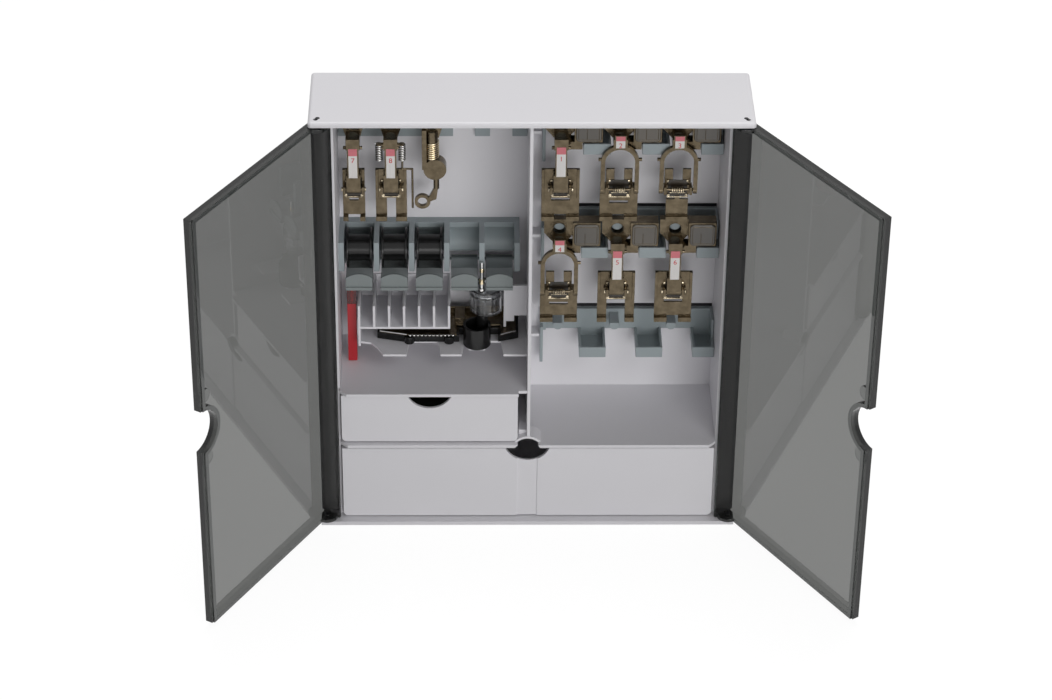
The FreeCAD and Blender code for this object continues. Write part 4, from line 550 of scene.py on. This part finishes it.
# Dark discs over the hinge-pin recesses near the roof's front corners: painted shade of the recesses.
pin_x, pin_y, pin_low, pin_high, pin_radius = 119.5, 6.0, 277.6, 278.04, 1.3
recess_shades = [((side * pin_x, pin_y, pin_low), (side * pin_x, pin_y, pin_high), pin_radius) for side in (-1, 1)]
rods("roof_pin_heads", recess_shades, "cabinet", "dark_plastic", width=0.1)

# The long foot's bright edge: a row of teeth, and a slanting run near either end of the foot.
TOOTH_COUNT, TOOTH_WIDE, TOOTH_FIRST_X = 12, 2.3, -71.2
EDGE_Z, EDGE_ROOT_Y, EDGE_TIP_Y, EDGE_BACK_Y = 115.75, 33.0, 31.5, 37.0
TOOTH_WIRE, RUN_WIRE = 0.32, 0.4
edge = []
for index in range(TOOTH_COUNT):
    x = TOOTH_FIRST_X + TOOTH_WIDE * index
    root = (x, EDGE_ROOT_Y, EDGE_Z)
    tip = (x + TOOTH_WIDE / 2, EDGE_TIP_Y, EDGE_Z)
    next_root = (x + TOOTH_WIDE, EDGE_ROOT_Y, EDGE_Z)
    edge += [(root, tip, TOOTH_WIRE), (tip, next_root, TOOTH_WIRE)]
edge.append(((-88.0, EDGE_BACK_Y, EDGE_Z), (-72.0, EDGE_ROOT_Y, EDGE_Z), RUN_WIRE))
edge.append(((-16.4, EDGE_ROOT_Y, EDGE_Z), (-7.5, EDGE_BACK_Y, EDGE_Z), RUN_WIRE))
rods("long_foot_edge", edge, BODY_OF["long_foot_slide"], "chrome", width=0.0, sides=10)

# The tool: ribs and a ring round its barrel, and two gilt rings on its nozzle.
RIB_COUNT, RIB_FIRST_ANGLE, RIB_RING_RADIUS, RIB_RADIUS = 10, 12.0, 9.55, 0.42
ribs = []
for index in range(RIB_COUNT):
    angle = math.radians(360.0 / RIB_COUNT * index + RIB_FIRST_ANGLE)
    x, y = TOOL_X + RIB_RING_RADIUS * math.cos(angle), TOOL_Y + RIB_RING_RADIUS * math.sin(angle)
    ribs.append(((x, y, 130.2), (x, y, 143.4), RIB_RADIUS))
rods("tool_barrel_ribs", ribs, "tool", "clear_plastic", width=0.1, sides=12)
ring = [((TOOL_X, TOOL_Y, 140.0), (TOOL_X, TOOL_Y, 141.6), 9.9)]
rods("tool_barrel_ring", ring, "tool", "clear_plastic", width=0.4, sides=48)
nozzle_x, nozzle_y = -27.65, 35.5
nozzle_rings = [((nozzle_x, nozzle_y, 150.0), (nozzle_x, nozzle_y, 153.0), 1.7),
                ((nozzle_x, nozzle_y, 158.0), (nozzle_x, nozzle_y, 160.5), 1.55, 1.2)]
rods("tool_nozzle_tip", nozzle_rings, "tool", "gilt", width=0.2)


# ---------------------------------------------------------------- stage, in metres

def larger_of(tree, first, second):
    node = tree.nodes.new("ShaderNodeMath")
    node.operation = "MAXIMUM"
    tree.links.new(first, node.inputs[0])
    tree.links.new(second, node.inputs[1])
    return node.outputs[0]


def seen_directly(tree):
    """1 for rays from the camera, off gloss and through glass, 0 for the rays that light things."""
    rays = tree.nodes.new("ShaderNodeLightPath").outputs
    straight = larger_of(tree, rays["Is Camera Ray"], rays["Is Glossy Ray"])
    return larger_of(tree, straight, rays["Is Transmission Ray"])


def mixed(tree, factor, first, second, output):
    mix = tree.nodes.new("ShaderNodeMixShader")
    tree.links.new(factor, mix.inputs[0])
    tree.links.new(first, mix.inputs[1])
    tree.links.new(second, mix.inputs[2])
    tree.links.new(mix.outputs[0], output)


def add_seen_white(tree, surface, output, share, strength):
    """Mixes plain white over a surface for the rays that see it directly."""
    white = tree.nodes.new("ShaderNodeEmission")
    white.inputs["Strength"].default_value = strength
    factor = tree.nodes.new("ShaderNodeMath")
    factor.operation = "MULTIPLY"
    factor.inputs[1].default_value = share
    tree.links.new(seen_directly(tree), factor.inputs[0])
    mixed(tree, factor.outputs[0], surface, white.outputs[0], output)


def make_floor():
    half_wide, drop = 6.0, 0.0005
    work = bmesh.new()
    bmesh.ops.create_grid(work, x_segments=1, y_segments=1, size=half_wide)
    mesh = bpy.data.meshes.new("floor")
    work.to_mesh(mesh)
    work.free()
    floor = linked_piece("floor", mesh)
    floor.location = (0.0, 0.0, -drop)
    material, tree, shader = new_material("floor")
    shader.inputs["Base Color"].default_value = (0.55, 0.55, 0.55, 1.0)
    shader.inputs["Roughness"].default_value = 0.9
    shader.inputs["Specular IOR Level"].default_value = 0.1
    output = tree.nodes["Material Output"].inputs["Surface"]
    add_seen_white(tree, shader.outputs["BSDF"], output, share=0.78, strength=1.2)
    mesh.materials.append(material)


def make_world():
    """A weak even light, behind a white that is only seen."""
    world = bpy.data.worlds.new("studio")
    bpy.context.scene.world = world
    world.use_nodes = True
    tree = world.node_tree
    tree.nodes.clear()
    light = tree.nodes.new("ShaderNodeBackground")
    light.inputs["Color"].default_value = (1.0, 0.995, 1.0, 1.0)
    light.inputs["Strength"].default_value = 0.22
    white = tree.nodes.new("ShaderNodeBackground")
    white.inputs["Strength"].default_value = 1.0
    output = tree.nodes.new("ShaderNodeOutputWorld")
    mixed(tree, seen_directly(tree), light.outputs[0], white.outputs[0], output.inputs["Surface"])


def make_lamp(name, place, target, size, power):
    data = bpy.data.lights.new(name, "AREA")
    data.shape = "RECTANGLE"
    data.size, data.size_y = size
    data.energy = power
    lamp = linked_piece(name, data)
    lamp.location = place
    lamp.rotation_euler = (Vector(target) - Vector(place)).to_track_quat("-Z", "Y").to_euler()


make_camera()
make_world()
make_floor()
make_lamp("top", place=(0.1, 0.55, 1.9), target=(0.0, 0.05, 0.28), size=(1.2, 0.9), power=17.8)
make_lamp("front", place=(0.65, -2.2, 0.48), target=(0.0, 0.0, 0.14), size=(1.5, 0.8), power=19.5)
make_lamp("high", place=(0.85, -1.42, 1.56), target=(0.0, 0.02, 0.15), size=(0.95, 0.8), power=5.5)
bpy.context.scene.view_settings.view_transform = "Standard"
